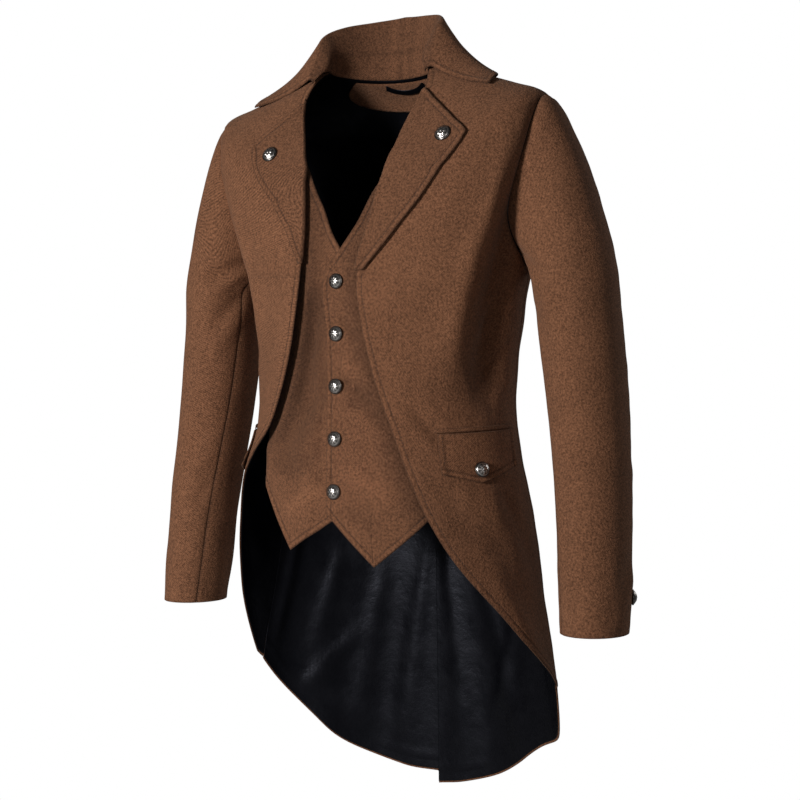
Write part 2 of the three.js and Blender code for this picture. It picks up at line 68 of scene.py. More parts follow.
# The body form: level, side_z, back_z, half_width, front_y, back_y, widest_y, squareness
RINGS = np.array([
    [-78, 0, -3, 70, 48, 62, 4, 2.0],
    [-100, -17, -24, 122, 62, 92, 4, 2.05],
    [-128, -36, -54, 180, 76, 116, 5, 2.15],
    [-152, -50, -82, 214, 85, 126, 6, 2.3],
    [-178, -88, -120, 218, 90, 132, 8, 2.4],
    [-208, -150, -165, 204, 93, 136, 11, 2.4],
    [-238, -208, -215, 187, 94, 138, 15, 2.35],
    [-268, -262, -264, 174, 95, 139, 18, 2.3],
    [-300, -300, -300, 168, 95, 138, 19, 2.25],
    [-350, -350, -350, 162, 95, 135, 19, 2.2],
    [-400, -400, -400, 160, 96, 133, 18, 2.15],
    [-450, -450, -450, 165, 98, 134, 18, 2.15],
    [-505, -505, -505, 177, 100, 138, 18, 2.15],
    [-560, -560, -560, 187, 103, 141, 18, 2.15],
    [-640, -640, -640, 199, 106, 143, 19, 2.1],
    [-725, -725, -725, 213, 110, 146, 20, 2.1],
    [-900, -900, -900, 219, 112, 150, 20, 2.1],
], float)

# What differs between the two sides. Edges are level, degrees; hems are as their names say.
LEFT = {
    "word": "left", "sign": 1, "lift": 5, "vest_out": 0, "flap": (44.5, 92.5), "lapel_button": (-138, 38.8),
    "inner": [
        [-78, 80], [-88, 61], [-100, 39], [-126, 22], [-152, 16], [-200, 12.7], [-250, 10], [-317, 13.5],
        [-374, 19], [-443, 27.5], [-498, 33], [-536, 38], [-583, 47], [-636, 62], [-682, 77],
        [-726, 100]],
    "seam": [[-256, 104], [-430, 104], [-740, 104]],
    "lapel": [
        [-92, 54.5], [-103, 50.9], [-116, 48.1], [-130, 46.1], [-148, 44.8], [-166, 34.5], [-206, 23.6],
        [-250, 13]],
    "vest_edge": [
        [-110, 31], [-152, 14], [-198, 6.4], [-223, 1.1], [-250, -5.3], [-316, -5], [-500, -3.4],
        [-600, -2]],
    "vest_side": [[-110, 40], [-250, 40], [-600, 47]],
    "vest_hem": [[0, -528], [0.38, -587], [0.82, -535], [1, -515]],
    "tail_hem": [
        [104, -733], [108, -763], [116, -793], [133, -819], [147, -849], [158, -870], [171, -885],
        [180, -891]],
}
RIGHT = {
    "word": "right", "sign": -1, "lift": 6, "vest_out": -CLOTH - 2 * SEAM, "flap": (58, 107),
    "lapel_button": (-135, 32.5),
    "inner": [
        [-78, 80], [-88, 58], [-100, 35.5], [-126, 17.8], [-152, 12.8], [-190, 11.5], [-240, 13.5],
        [-336, 20], [-397, 28], [-433, 35], [-462, 47], [-495, 61], [-535, 71], [-590, 79], [-650, 88],
        [-726, 103]],
    "seam": [[-256, 104], [-430, 111], [-740, 106.5]],
    "lapel": [
        [-90, 51], [-112, 46.2], [-126, 44.5], [-137, 42.9], [-145, 38.2], [-178, 23.8], [-203, 18.8],
        [-240, 14.5]],
    "vest_edge": [
        [-110, 30.5], [-130, 16.2], [-167, 6.8], [-204, 2.1], [-223, -1.2], [-260, -6], [-600, -6]],
    "vest_side": [[-110, 36], [-250, 40], [-440, 44], [-500, 38.5], [-600, 36]],
    "vest_hem": [[0, -522], [0.07, -528], [0.58, -573], [1, -499]],
    "tail_hem": [
        [106, -734], [119, -774], [132, -812], [142, -841], [154, -862], [166, -874], [180, -877],
        [190, -877]],
}

# The arm's rings: z, centre_x, centre_y, half_across, half_deep
SLEEVE_RINGS = np.array([
    [-262, 246, 28, 49, 55],
    [-330, 253, 30, 47.5, 54],
    [-397, 260, 30, 45.5, 52.5],
    [-470, 268, 25, 43.5, 50.5],
    [-545, 274, 17, 41.5, 48.5],
    [-610, 277, 11, 39.5, 46.5],
    [-657, 279, 6, 37.5, 44.5],
], float)
SLEEVE_FRONT_SEAM = [[0, 158], [-262, 155], [-397, 149], [-530, 140], [-657, 133]]
SLEEVE_BACK_SEAM = -45

# The collar, from the middle back to an end: share of the way, seam_angle, seam_level, ridge_rise, ridge_out,
# free_angle, free_level, foot_lift, foot_inset
COLLAR = [
    [0, 180, -78, 81, 5, 180, -98, 0, 1.8],
    [0.25, 149, -78, 76, 4, 148, -100, 0, 1.8],
    [0.5, 117, -78, 66, 5, 118, -107, 0, 1.8],
    [0.7, 92, -78, 51, 11, 95, -114, 0.5, 2.4],
    [0.87, 77, -79, 27, 12, 80, -119, 7, 2.4],
    [1, 65, -85, 12, 6, 71, -122, 7.5, 0],
]

# ---------- folds, placed one by one -------
# Each row: from angle, from level, to angle, to level, width, height. A negative height is a trough.
COAT_FOLDS = [
    # wearer's left front: the chest ends in a fold from the armhole, and the side falls in behind it
    [57, -184, 50, -350, 17, 5.0],
    [77, -170, 71, -400, 34, -17.0],
    [80, -262, 62, -330, 9, 2.2],
    [92, -330, 74, -372, 9, -2.4],
    [96, -372, 78, -400, 8, 1.8],
    # strained cloth round the pocket and the soft swell under it
    [33, -404, 45, -440, 6, -2.0],
    [38, -396, 52, -432, 6, 1.4],
    [34, -430, 44, -452, 5, 1.2],
    [50, -505, 72, -520, 20, 3.2],
    [46, -535, 74, -566, 17, -2.6],
    [74, -500, 96, -600, 16, -2.2],
    [60, -590, 84, -690, 16, 2.6],
    # wearer's right front
    [-48, -200, -46, -330, 18, 3.0],
    [-67, -175, -60, -345, 16, -6.5],
    [-84, -300, -68, -352, 9, -2.4],
    [-88, -352, -74, -384, 8, 2.0],
    [-60, -470, -88, -500, 14, 2.6],
    [-74, -520, -96, -600, 14, -2.6],
    # the back: soft drags from the shoulder blades to the waist, and the waist's own short folds
    [136, -190, 142, -330, 16, 3.0],
    [152, -230, 150, -372, 14, -2.6],
    [-138, -188, -140, -338, 17, 3.2],
    [-155, -225, -151, -360, 14, -2.4],
    [118, -372, 150, -396, 9, -2.4],
    [122, -402, 160, -418, 9, 1.8],
    [-116, -366, -146, -398, 9, -2.2],
    [-124, -400, -166, -410, 9, 2.0],
    [112, -200, 122, -300, 10, -3.0],
    [-111, -198, -122, -300, 10, -2.8],
]
VEST_FOLDS = [
    [3, -352, 18, -376, 7, 2.4],
    [2, -372, 16, -398, 7, -3],
    [5, -396, 22, -424, 8, -2.4],
    [8, -404, 24, -440, 8, 2.2],
    [-6, -340, -22, -366, 9, 1.9],
    [-6, -384, -24, -420, 9, -2.4],
    [2, -300, 10, -330, 6, -1.7],
    [-5, -280, -12, -310, 7, -1.7],
    [-6, -500, -22, -530, 9, 2.4],
    [-5, -452, -26, -486, 11, -2.2],
    [-14, -250, -19, -430, 17, -13],
    [-24, -420, -28, -480, 16, -6],
    [6, -480, 26, -512, 11, 2.2],
    [4, -520, 20, -548, 8, -1.7],
]
# Hanging folds of the tails: angle, width in degrees, height at the hem
TAIL_FLUTES = [
    [122, 9, 4.5], [140, 8, -4.0], [158, 9, 4.0], [171, 6, -2.5],
    [-120, 9, 4.0], [-137, 8, -4.0], [-155, 10, 4.5], [-170, 6, -2.5],
    [60, 9, 2.0], [80, 8, -3.0], [-84, 8, -2.5],
]
# The satin's own folds inside the tails, inwards: angle, level, angle, level, width, height
LINING_FOLDS = [
    [176, -560, 168, -850, 9, -3.0],
    [160, -600, 146, -820, 12, -4.5],
    [140, -640, 158, -800, 8, -3.0],
    [128, -600, 120, -760, 10, -3.5],
    [112, -560, 132, -700, 9, -2.6],
    [-176, -580, -166, -840, 9, -3.5],
    [-158, -620, -150, -830, 11, -4.0],
    [-150, -700, -128, -780, 10, -3.5],
    [-140, -600, -132, -730, 10, -3.0],
    [-120, -560, -112, -720, 9, -3.0],
    [150, -240, 140, -420, 9, -2.0],
    [-150, -260, -138, -420, 9, -2.0],
    [172, -160, 160, -300, 8, -1.6],
    [-168, -150, -158, -280, 8, -1.6],
]
# Sleeve folds of the wearer's left arm and right arm: turn, z, turn, z, width, height
SLEEVE_FOLDS_LEFT = [
    [150, -225, 105, -262, 9, -2.6],
    [146, -250, 96, -292, 10, 2.4],
    [158, -290, 110, -330, 10, -1.8],
    [60, -198, 96, -232, 9, -1.8],
    [120, -420, 62, -446, 11, -1.6],
    [126, -448, 70, -478, 11, 1.8],
    [-20, -560, 18, -600, 12, -1.8],
    [-24, -592, 26, -640, 11, 1.4],
    [96, -500, 120, -560, 10, -1.4],
    [200, -300, 250, -350, 12, -2.0],
    [-60, -420, -20, -470, 13, -1.8],
    [-70, -300, -30, -350, 14, -1.6],
]
SLEEVE_FOLDS_RIGHT = [
    [152, -215, 100, -250, 9, -4.2],
    [148, -238, 92, -280, 9, 3.4],
    [158, -262, 108, -310, 9, -3.6],
    [156, -292, 112, -342, 10, 2.4],
    [128, -430, 84, -462, 11, -1.8],
    [132, -470, 96, -500, 9, 1.6],
    [140, -500, 112, -530, 7, -2.0],
    [-10, -540, 36, -590, 12, -1.4],
    [200, -310, 248, -360, 12, -2.0],
    [-58, -410, -16, -462, 13, -1.8],
    [-70, -290, -28, -345, 14, -1.6],
]


# ---------- helpers ----------
def smooth(t):
    """0 below 0, 1 above 1, and the S-curve 3t^2 - 2t^3 between."""
    t = np.clip(t, 0, 1)
    return t * t * (3 - 2 * t)


def mix(a, b, t):
    """a at t = 0, b at t = 1, in a straight line."""
    return a + (b - a) * t


def follow(table, at, column=1):
    """Smooth curve through a table's rows: a cubic between two rows, whose slope at a row is the mean of the
    slopes on its two sides. Past the ends it keeps the end's value."""
    table = np.asarray(table, float)
    x, y, at = table[:, 0], table[:, column], np.asarray(at, float)
    if x[-1] < x[0]:
        x, at = -x, -at
    slope = np.diff(y) / np.diff(x)
    tangent = np.concatenate([slope[:1], (slope[:-1] + slope[1:]) / 2, slope[-1:]])
    i = np.clip(np.searchsorted(x, at, side="right") - 1, 0, len(x) - 2)
    width = x[i + 1] - x[i]
    t = np.clip((at - x[i]) / width, 0, 1)
    t2, t3 = t * t, t * t * t
    return ((2 * t3 - 3 * t2 + 1) * y[i] + (t3 - 2 * t2 + t) * width * tangent[i]
            + (3 * t2 - 2 * t3) * y[i + 1] + (t3 - t2) * width * tangent[i + 1])


def along(table, at):
    """Straight lines through a table's rows, for an outline with corners."""
    table = np.asarray(table, float)
    return np.interp(at, table[:, 0], table[:, 1])


def unit(v):
    """Each vector divided by its length."""
    return v / np.maximum(np.linalg.norm(v, axis=-1, keepdims=True), 1e-9)


def form_point(angle, level):
    """A point of the body form: an oval ring of radius (|cos|^n + |sin|^n)^(-1/n), rising to the side."""
    angle, level = np.broadcast_arrays(np.asarray(angle, float), np.asarray(level, float))
    side_z, back_z, half, front, back, widest, n = [follow(RINGS, level, c) for c in range(1, 8)]
    c, s = np.cos(np.radians(angle)), np.sin(np.radians(angle))
    r = (np.abs(c) ** n + np.abs(s) ** n) ** (-1 / n)
    depth = np.where(c > 0, front + widest, back - widest)
    end_z = np.where(c > 0, level, back_z)
    return np.stack([half * s * r, widest - depth * c * r, end_z * c * c + side_z * s * s], -1)


def form_normal(angle, level):
    """The form's outward direction: down its height crossed with round its ring."""
    across = form_point(angle + 0.3, level) - form_point(angle - 0.3, level)
    down = form_point(angle, level - 0.3) - form_point(angle, level + 0.3)
    return unit(np.cross(down, across))


def fold_sum(folds, angle, level, degree):
    """The sum of soft ridges and troughs. Each is height * exp(-(distance / width)^2) from its line, and
    fades to nothing past the line's two ends. degree is the length of a degree in millimetres."""
    total = np.zeros(np.broadcast(angle, level).shape)
    for a0, l0, a1, l1, width, height in folds:
        dx, dy = (a1 - a0) * degree, l1 - l0
        px, py = (angle - a0) * degree, level - l0
        length2 = dx * dx + dy * dy
        t = (px * dx + py * dy) / length2
        off = (px * dy - py * dx) ** 2 / length2
        spread = width * (0.75 + 0.5 * np.clip(t, 0, 1))
        faded = smooth(t * 2.5 + 0.4) * smooth((1 - t) * 2.5 + 0.4)
        total += height * np.exp(-off / spread ** 2) * faded
    return total


def tail_flutes(angle, level):
    """Soft hanging folds that grow from the waist to the hem of the tails."""
    grow = smooth((-level - 500) / 380)
    return sum(h * np.exp(-((angle - a) / w) ** 2) for a, w, h in TAIL_FLUTES) * grow


def armhole_level(turn):
    """Level of the armhole's edge at a turn of its oval, 0 at its top and 180 at its lowest point."""
    return SHOULDER - ARMHOLE_HALF + ARMHOLE_HALF * np.cos(np.radians(turn))


def armhole_angle(turn, towards_back):
    """Degrees round the body of the armhole's edge: the oval leans back as it drops."""
    dropped = (1 - np.cos(np.radians(turn))) / 2
    spread = towards_back * ARMHOLE_SPREAD * np.sin(np.radians(turn))
    return SHOULDER_SEAM + ARMHOLE_LEAN * dropped ** 1.5 + spread


def outer_edge(side, level, towards_back):
    """Angle of a front's outer edge (towards_back -1) or a back's (1): shoulder, armhole, side seam."""
    level = np.asarray(level, float)
    turn = np.degrees(np.arccos(np.clip((level - SHOULDER) / ARMHOLE_HALF + 1, -1, 1)))
    edge = armhole_angle(turn, towards_back)
    edge = np.where(level > SHOULDER, SHOULDER_SEAM, edge)
    return np.where(level < UNDERARM, follow(side["seam"], level), edge)


def front_lift(side, angle, level):
    """How far a front stands off the waistcoat, most at its free edge between the chest and the hip."""
    from_edge = (angle - follow(side["inner"], level)) / LIFT_SPAN
    edge = sum(outer_edge(side, level + step, -1) for step in (-24, -12, 0, 12, 24)) / 5
    to_seam = smooth((edge - angle) / 24)
    reach = smooth((-level - 190) / 120) * smooth((760 + level) / 120) * to_seam
    loose = 1.5 * (1 - smooth(from_edge * 2)) * smooth((-level - 90) / 40)
    return side["lift"] * reach * (1 - smooth(from_edge)) + loose


def signed_angle(side, angle):
    """The angle round the whole body, -180 to 180, of an angle on one side."""
    signed = side["sign"] * angle
    return np.where(np.abs(signed) > 180, signed - 360 * np.sign(signed), signed)


def coat_drape(side, angle, level):
    """Every fold of the coat cloth at a place on one side, so that all that lies on the cloth follows it."""
    signed = signed_angle(side, angle)
    near_seam = smooth(np.abs(angle - 104) / 6 + 0.15)
    calm = smooth((-level - 100) / 60)
    return (fold_sum(COAT_FOLDS, signed, level, 2.8) * near_seam + tail_flutes(signed, level)) * calm


def on_coat(side, angle, level, out):
    """A point out from the form on one side of the coat, with the coat's folds."""
    signed = side["sign"] * angle
    lifted = out + coat_drape(side, angle, level)
    return form_point(signed, level) + form_normal(signed, level) * lifted[..., None]


# ---------- grids that follow their edges ----------
STITCHED = [0, 0.25, 0.7, 1.3, 2.2, 3.6, 5.2, 6.1, 6.7, 7.3, 7.9, 8.7, 10.5, 13]
PLAIN = [0, 0.3, 0.8, 1.6, 3, 5]
STITCH_AT = 7.0


def spaced(width, count, first, last):
    """Distances across a strip of each width: the first and last steps sit at fixed distances from its two
    edges and the rest share what is left. A narrow strip draws its steps in."""
    first, last = np.asarray(first, float), np.asarray(last, float)
    width = np.asarray(width, float)[..., None]
    squeeze = np.minimum(1, 0.42 * width / max(first[-1], last[-1]))
    start = first * squeeze
    end = width - last[::-1] * squeeze
    t = np.linspace(0, 1, count + 2)[1:-1]
    middle = start[..., -1:] + (end[..., :1] - start[..., -1:]) * t
    return np.concatenate([start, middle, end], -1)


def lengths(p, axis):
    """Distance from the start of the grid along an axis: the running sum of the steps' lengths."""
    step = np.linalg.norm(np.diff(p, axis=axis), axis=-1)
    zero = np.zeros_like(np.take(step, [0], axis=axis))
    return np.concatenate([zero, np.cumsum(step, axis=axis)], axis=axis)


def rounded(distance, radius, thin=0.12):
    """Share of the full thickness near an edge: a quarter circle of that radius, never below thin."""
    t = np.clip(distance / radius, 0, 1)
    return thin + (1 - thin) * np.sqrt(1 - (1 - t) ** 2)


def make_object(name, points, faces, material, uv=None):
    """A smooth mesh from points in millimetres and an array of four-cornered faces."""
    mesh = bpy.data.meshes.new(name)
    mesh.vertices.add(len(points))
    mesh.vertices.foreach_set("co", (np.asarray(points) * 0.001).astype(np.float32).ravel())
    mesh.loops.add(faces.size)
    mesh.loops.foreach_set("vertex_index", faces.ravel().astype(np.int32))
    mesh.polygons.add(len(faces))
    mesh.polygons.foreach_set("loop_start", np.arange(0, faces.size, faces.shape[1], dtype=np.int32))
    mesh.update(calc_edges=True)
    if uv is not None:
        layer = mesh.uv_layers.new(name="cut")
        layer.data.foreach_set("uv", uv[faces.ravel()].astype(np.float32).ravel())
    mesh.polygons.foreach_set("use_smooth", np.ones(len(faces), bool))
    mesh.materials.append(material)
    made = bpy.data.objects.new(name, mesh)
    bpy.context.scene.collection.objects.link(made)
    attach(made, "root")
    return made


def grid_faces(rows, columns, start=0):
    """The faces of a grid whose points are numbered row by row."""
    at = start + np.arange(rows * columns).reshape(rows, columns)
    return np.stack([at[:-1, :-1], at[1:, :-1], at[1:, 1:], at[:-1, 1:]], -1).reshape(-1, 4)


def wall_faces(rows, columns):
    """The faces of a closed wall: its outer grid, its inner grid turned over, and the strip round them."""
    outer = grid_faces(rows, columns)
    size = rows * columns
    inner = grid_faces(rows, columns, size)[:, ::-1]
    at = np.arange(size).reshape(rows, columns)
    rim = np.concatenate([at[:, 0], at[-1, 1:], at[-2::-1, -1], at[0, -2:0:-1]])
    after = np.roll(rim, -1)
    strip = np.stack([after, rim, rim + size, after + size], -1)
    return np.concatenate([outer, inner, strip])


# Painted shade in a fold's trough and painted light on its ridge, kept between DARKEST and LIGHTEST of the
# colour, and painted shade down the skirt.
FOLD_SHADE = 0.028  # share of the colour for each millimetre of fold
DARKEST, LIGHTEST = 0.7, 1.12
SKIRT_SHADE = 0.12


def fold_painted_shade(side, angle, level):
    """Painted shade in the coat's colour: darker down in a fold and towards the skirt, with painted light on
    a ridge.
    """
    in_fold = np.clip(1 + FOLD_SHADE * coat_drape(side, angle, level), DARKEST, LIGHTEST)
    return in_fold * (1 - SKIRT_SHADE * smooth((-level - 400) / 120))


def grid_normals(p):
    """Normals at a grid's points: the mean of those of the faces round each. A face's normal is the cross
    product of its two diagonals, which holds on a slanting face too."""
    face = unit(np.cross(p[1:, :-1] - p[:-1, 1:], p[1:, 1:] - p[:-1, :-1]))
    padded = np.pad(face, ((1, 1), (1, 1), (0, 0)), mode="edge")
    return unit(padded[1:, 1:] + padded[:-1, :-1] + padded[1:, :-1] + padded[:-1, 1:])


# How top stitching and seams work the cloth, in millimetres: how far it sinks or swells, and how wide.
GROOVE_DEPTH, GROOVE_WIDTH = 0.55, 0.8
EDGE_SWELL = 0.25
SEAM_DIP, SEAM_WIDTH = 0.7, 2.2
# Painted shade in the cloth's colour, and painted light on the swell beside a line of stitching, as a share
# of the colour, and how far each reaches from its line in millimetres.
SEAM_SHADE, EDGE_SHADE, EDGE_SHADE_WIDTH = 0.5, 0.25, 1.7
STITCH_SHADE, STITCH_SHADE_WIDTH = 0.38, 1.0
SWELL_LIGHT, SWELL_LIGHT_WIDTH = 0.12, 2.0
INNER_SHARE = 0.6  # share of the outer face's shift that the inner face has


class Cloth:
    """A cloth wall worked out from the grid of its middle surface, in millimetres."""

    def __init__(self, middle, thickness, edge=1.1, groove=(), dips=(), crumple=0.35, seed=0, tone=1.0):
        """middle is the grid of points. groove names the edges with top stitching, and dips those that are
        seams, from "top", "bottom", "start" and "end". tone is a painted shade laid in the cloth's own colour
        at each point, 1 for none. The cloth adds its own painted shade at its edges, seams and stitching, and
        painted light on the swell beside the stitching."""
        self.rows, self.columns = middle.shape[:2]
        down, across = lengths(middle, 0), lengths(middle, 1)
        normal = grid_normals(middle)
        down_column, along_row = [unit(np.gradient(middle, axis=axis)) for axis in (0, 1)]
        slant = np.clip(np.linalg.norm(np.cross(down_column, along_row), axis=-1), 0.35, 1)
        self.to = {
            "top": down * slant[:1], "bottom": (down[-1:] - down) * slant[-1:],
            "start": across * slant[:, :1], "end": (across[:, -1:] - across) * slant[:, -1:],
        }
        nearest = np.minimum.reduce(list(self.to.values()))
        half = np.full_like(nearest, thickness / 2)
        for name, distance in self.to.items():
            half *= rounded(distance, edge, 0.6 if name in dips else 0.12)
        shift = np.zeros_like(nearest)
        for name in groove:
            shift -= GROOVE_DEPTH * np.exp(-((self.to[name] - STITCH_AT) / GROOVE_WIDTH) ** 2)
            shift += EDGE_SWELL * smooth(self.to[name] / 2) * smooth((STITCH_AT - self.to[name]) / 2)
        for name in dips:
            shift -= SEAM_DIP * np.exp(-(self.to[name] / SEAM_WIDTH) ** 2)
        shift += crumple * soft_noise(middle, seed) * smooth(nearest / 14)
        # Painted shade: darker near every edge, more at seams and stitched edges, darker along the stitching,
        # and painted light on the swell between the stitching and the edge.
        shade = np.ones_like(nearest) * tone
        for name, distance in self.to.items():
            depth = SEAM_SHADE if name in dips or name in groove else EDGE_SHADE
            shade *= 1 - depth * np.exp(-(distance / EDGE_SHADE_WIDTH) ** 2)
        for name in groove:
            from_line = self.to[name] - STITCH_AT
            from_swell = self.to[name] - STITCH_AT / 2
            shade *= 1 - STITCH_SHADE * np.exp(-(from_line / STITCH_SHADE_WIDTH) ** 2)
            shade *= 1 + SWELL_LIGHT * np.exp(-(from_swell / SWELL_LIGHT_WIDTH) ** 2)
        self.shade = shade.reshape(-1)
        self.normal = normal
        self.outer = middle + normal * (half + shift)[..., None]
        self.inner = middle + normal * (shift * INNER_SHARE - half)[..., None]
        between = np.linalg.norm(np.cross(np.diff(middle, axis=0), along_row[:-1]), axis=-1)
        self.rise = np.concatenate([np.zeros((1, self.columns)), np.cumsum(between, axis=0)])
        self.uv = np.stack([across * 0.001, -self.rise * 0.001], -1).reshape(-1, 2)

    def build(self, name, material):
        """The wall as an object in place of the solid of that name."""
        points = np.concatenate([self.outer.reshape(-1, 3), self.inner.reshape(-1, 3)])
        uv = np.concatenate([self.uv, self.uv])
        made = make_object(name, points, wall_faces(self.rows, self.columns), material, uv)
        # The painted shade goes to the material as a point attribute.
        painted_shade = made.data.attributes.new("painted_shade", "FLOAT", "POINT")
        painted_shade.data.foreach_set("value", np.concatenate([self.shade, self.shade]).astype(np.float32))
        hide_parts(name)
        return made


def soft_noise(p, seed):
    """Gentle unevenness of pressed cloth: a sum of slow sine waves in several directions, about -1 to 1."""
    rng = np.random.default_rng(seed + 11)
    total = np.zeros(p.shape[:-1])
    for length in (150, 95, 70, 46, 33, 24):
        direction = unit(rng.normal(size=3))
        total += np.sin(p @ direction * (2 * np.pi / length) + rng.uniform(0, 6.3)) * (length / 95) ** 0.5
    return total / 3.2


# ---------- stitches ----------
STITCH_LENGTH = 2.5
STITCH_STEP = 3.5
STITCH_RADIUS = 0.38


def picked(values, run, where):
    """Values along a line, at distances where, from those at the distances run."""
    return np.stack([np.interp(where, run, values[:, k]) for k in range(3)], -1)


def stitches(name, lines, material):
    """Top stitching: short threads set along each line. A line is (points, normals) on the cloth's face.
    A thread is a six-sided bar whose ends draw in: radius * sqrt(1 - x^2) at five places along it."""
    rings, sides = np.array([-1, -0.7, 0, 0.7, 1]), 6
    swell = np.sqrt(np.clip(1 - rings ** 2, 0.02, 1))
    turn = np.arange(sides) * 2 * np.pi / sides
    points = []
    for line, normals in lines:
        run = lengths(line, 0)
        at = np.arange(STITCH_STEP, run[-1] - STITCH_STEP, STITCH_STEP)
        centre = picked(line, run, at)
        forward = unit(picked(line, run, at + 0.8) - picked(line, run, at - 0.8))
        up = unit(picked(normals, run, at))
        side = unit(np.cross(up, forward))
        arch = -0.05 - 0.3 * rings ** 2
        reach = (rings * STITCH_LENGTH / 2)[None, :, None, None]
        height = (arch[:, None] + STITCH_RADIUS * swell[:, None] * np.sin(turn))[None, :, :, None]
        breadth = (STITCH_RADIUS * swell[:, None] * np.cos(turn))[None, :, :, None]
        place = (centre[:, None, None] + forward[:, None, None] * reach
                 + up[:, None, None] * height + side[:, None, None] * breadth)
        points.append(place.reshape(-1, 3))
    points = np.concatenate(points)
    count = len(points) // (len(rings) * sides)
    ring = np.arange(sides)
    after = (ring + 1) % sides
    band = np.concatenate([
        np.stack([ring + k * sides, after + k * sides, after + (k + 1) * sides, ring + (k + 1) * sides], -1)
        for k in range(len(rings) - 1)])
    last = (len(rings) - 1) * sides
    caps = np.array([[0, 5, 4, 1], [1, 4, 3, 2], [last, last + 1, last + 4, last + 5],
                     [last + 1, last + 2, last + 3, last + 4]])
    one = np.concatenate([band, caps])
    faces = (one[None] + (np.arange(count) * len(rings) * sides)[:, None, None]).reshape(-1, 4)
    return make_object(name, points, faces, material)


def line_at(cloth, edge, distance=STITCH_AT, span=(0.0, 1.0)):
    """The line on a cloth's outer face at a distance from one of its edges, over a span of that edge."""
    to = cloth.to[edge]
    across_rows = edge in ("start", "end")
    if not across_rows:
        to, outer, normal = to.T, cloth.outer.transpose(1, 0, 2), cloth.normal.transpose(1, 0, 2)
    else:
        outer, normal = cloth.outer, cloth.normal
    i = np.arange(int(span[0] * (len(to) - 1)), int(span[1] * (len(to) - 1)) + 1)
    order = slice(None, None, -1) if edge in ("end", "bottom") else slice(None)
    line, lean = [], []
    for values, keep in ((outer, line), (normal, lean)):
        for k in range(3):
            keep.append(np.array([np.interp(distance, to[r][order], values[r, :, k][order]) for r in i]))
    return np.stack(line, -1), np.stack(lean, -1)


# ---------- materials ----------
def node_material(name):
    """A new material, its nodes, its links and its main shader."""
    material = bpy.data.materials.new(name)
    material.use_nodes = True
    nodes, links = material.node_tree.nodes, material.node_tree.links
    return material, nodes, links, nodes["Principled BSDF"]


def set_inputs(node, **values):
    """Sets a node's inputs by name, with an underscore for each space."""
    for name, value in values.items():
        node.inputs[name.replace("_", " ")].default_value = value


def noise(nodes, links, scale, detail, roughness=0.5):
    """Noise fixed to the object, and its strength's socket."""
    where = nodes.new("ShaderNodeTexCoord")
    made = nodes.new("ShaderNodeTexNoise")
    set_inputs(made, Scale=scale, Detail=detail, Roughness=roughness)
    links.new(where.outputs["Object"], made.inputs["Vector"])
    return made.outputs["Fac"]


def blended(nodes, links, share, a, b):
    """The value a with that share of b."""
    both = nodes.new("ShaderNodeMix")
    both.data_type = "FLOAT"
    both.inputs[0].default_value = share
    links.new(a, both.inputs[2])
    links.new(b, both.inputs[3])
    return both.outputs[0]


def ranged(nodes, links, value, start, end, low=0.0, high=1.0):
    """The value spread so that start to end becomes low to high."""
    spread = nodes.new("ShaderNodeMapRange")
    set_inputs(spread, From_Min=start, From_Max=end, To_Min=low, To_Max=high)
    links.new(value, spread.inputs["Value"])
    return spread.outputs["Result"]


def colours(nodes, links, value, first, first_at, last, last_at):
    """The value as a colour between two."""
    ramp = nodes.new("ShaderNodeValToRGB")
    for stop, colour, at in zip(ramp.color_ramp.elements, (first, last), (first_at, last_at)):
        stop.position = at
        stop.color = (*colour, 1)
    links.new(value, ramp.inputs["Fac"])
    return ramp.outputs["Color"]


def bumped(nodes, links, height, strength, depth, under=None):
    """A bump from a height, depth in metres, over another bump's normal if there is one."""
    bump = nodes.new("ShaderNodeBump")
    set_inputs(bump, Strength=strength, Distance=depth)
    links.new(height, bump.inputs["Height"])
    if under is not None:
        links.new(under, bump.inputs["Normal"])
    return bump.outputs["Normal"]


def carried(nodes, name):
    """The socket of a value that a piece carries at its points."""
    value = nodes.new("ShaderNodeAttribute")
    value.attribute_name = name
    return value.outputs["Fac"]


def twill_cloth(name, light, dark):
    """Fine-ribbed brown twill: slanting ribs over a mottled, slightly brushed ground, with a soft nap,
    darkened by the painted shade that each cloth carries."""
    material, nodes, links, shader = node_material(name)
    place = nodes.new("ShaderNodeUVMap")
    place.uv_map = "cut"
    turned = nodes.new("ShaderNodeMapping")
    set_inputs(turned, Rotation=(0, 0, 0.9))
    links.new(place.outputs["UV"], turned.inputs["Vector"])
    ribs = nodes.new("ShaderNodeTexWave")
    set_inputs(ribs, Scale=165, Distortion=3.2, Detail=2, Detail_Scale=3)
    links.new(turned.outputs["Vector"], ribs.inputs["Vector"])
    speckle = ranged(nodes, links, noise(nodes, links, 430, 3, 0.7), 0.32, 0.68)
    weave = blended(nodes, links, 0.3, speckle, ribs.outputs["Fac"])
    ground = blended(nodes, links, 0.16, weave, noise(nodes, links, 22, 4))
    # The colour times the painted shade that each cloth carries.
    pressed = nodes.new("ShaderNodeVectorMath")
    pressed.operation = "SCALE"
    links.new(colours(nodes, links, ground, dark, 0.2, light, 0.8), pressed.inputs[0])
    links.new(carried(nodes, "painted_shade"), pressed.inputs["Scale"])
    links.new(pressed.outputs["Vector"], shader.inputs["Base Color"])
    links.new(bumped(nodes, links, weave, 1.0, 0.0006), shader.inputs["Normal"])
    set_inputs(shader, Roughness=0.88, Specular_IOR_Level=0.2, Sheen_Weight=0.12, Sheen_Roughness=0.45,
               Sheen_Tint=(0.9, 0.66, 0.5, 1))
    return material


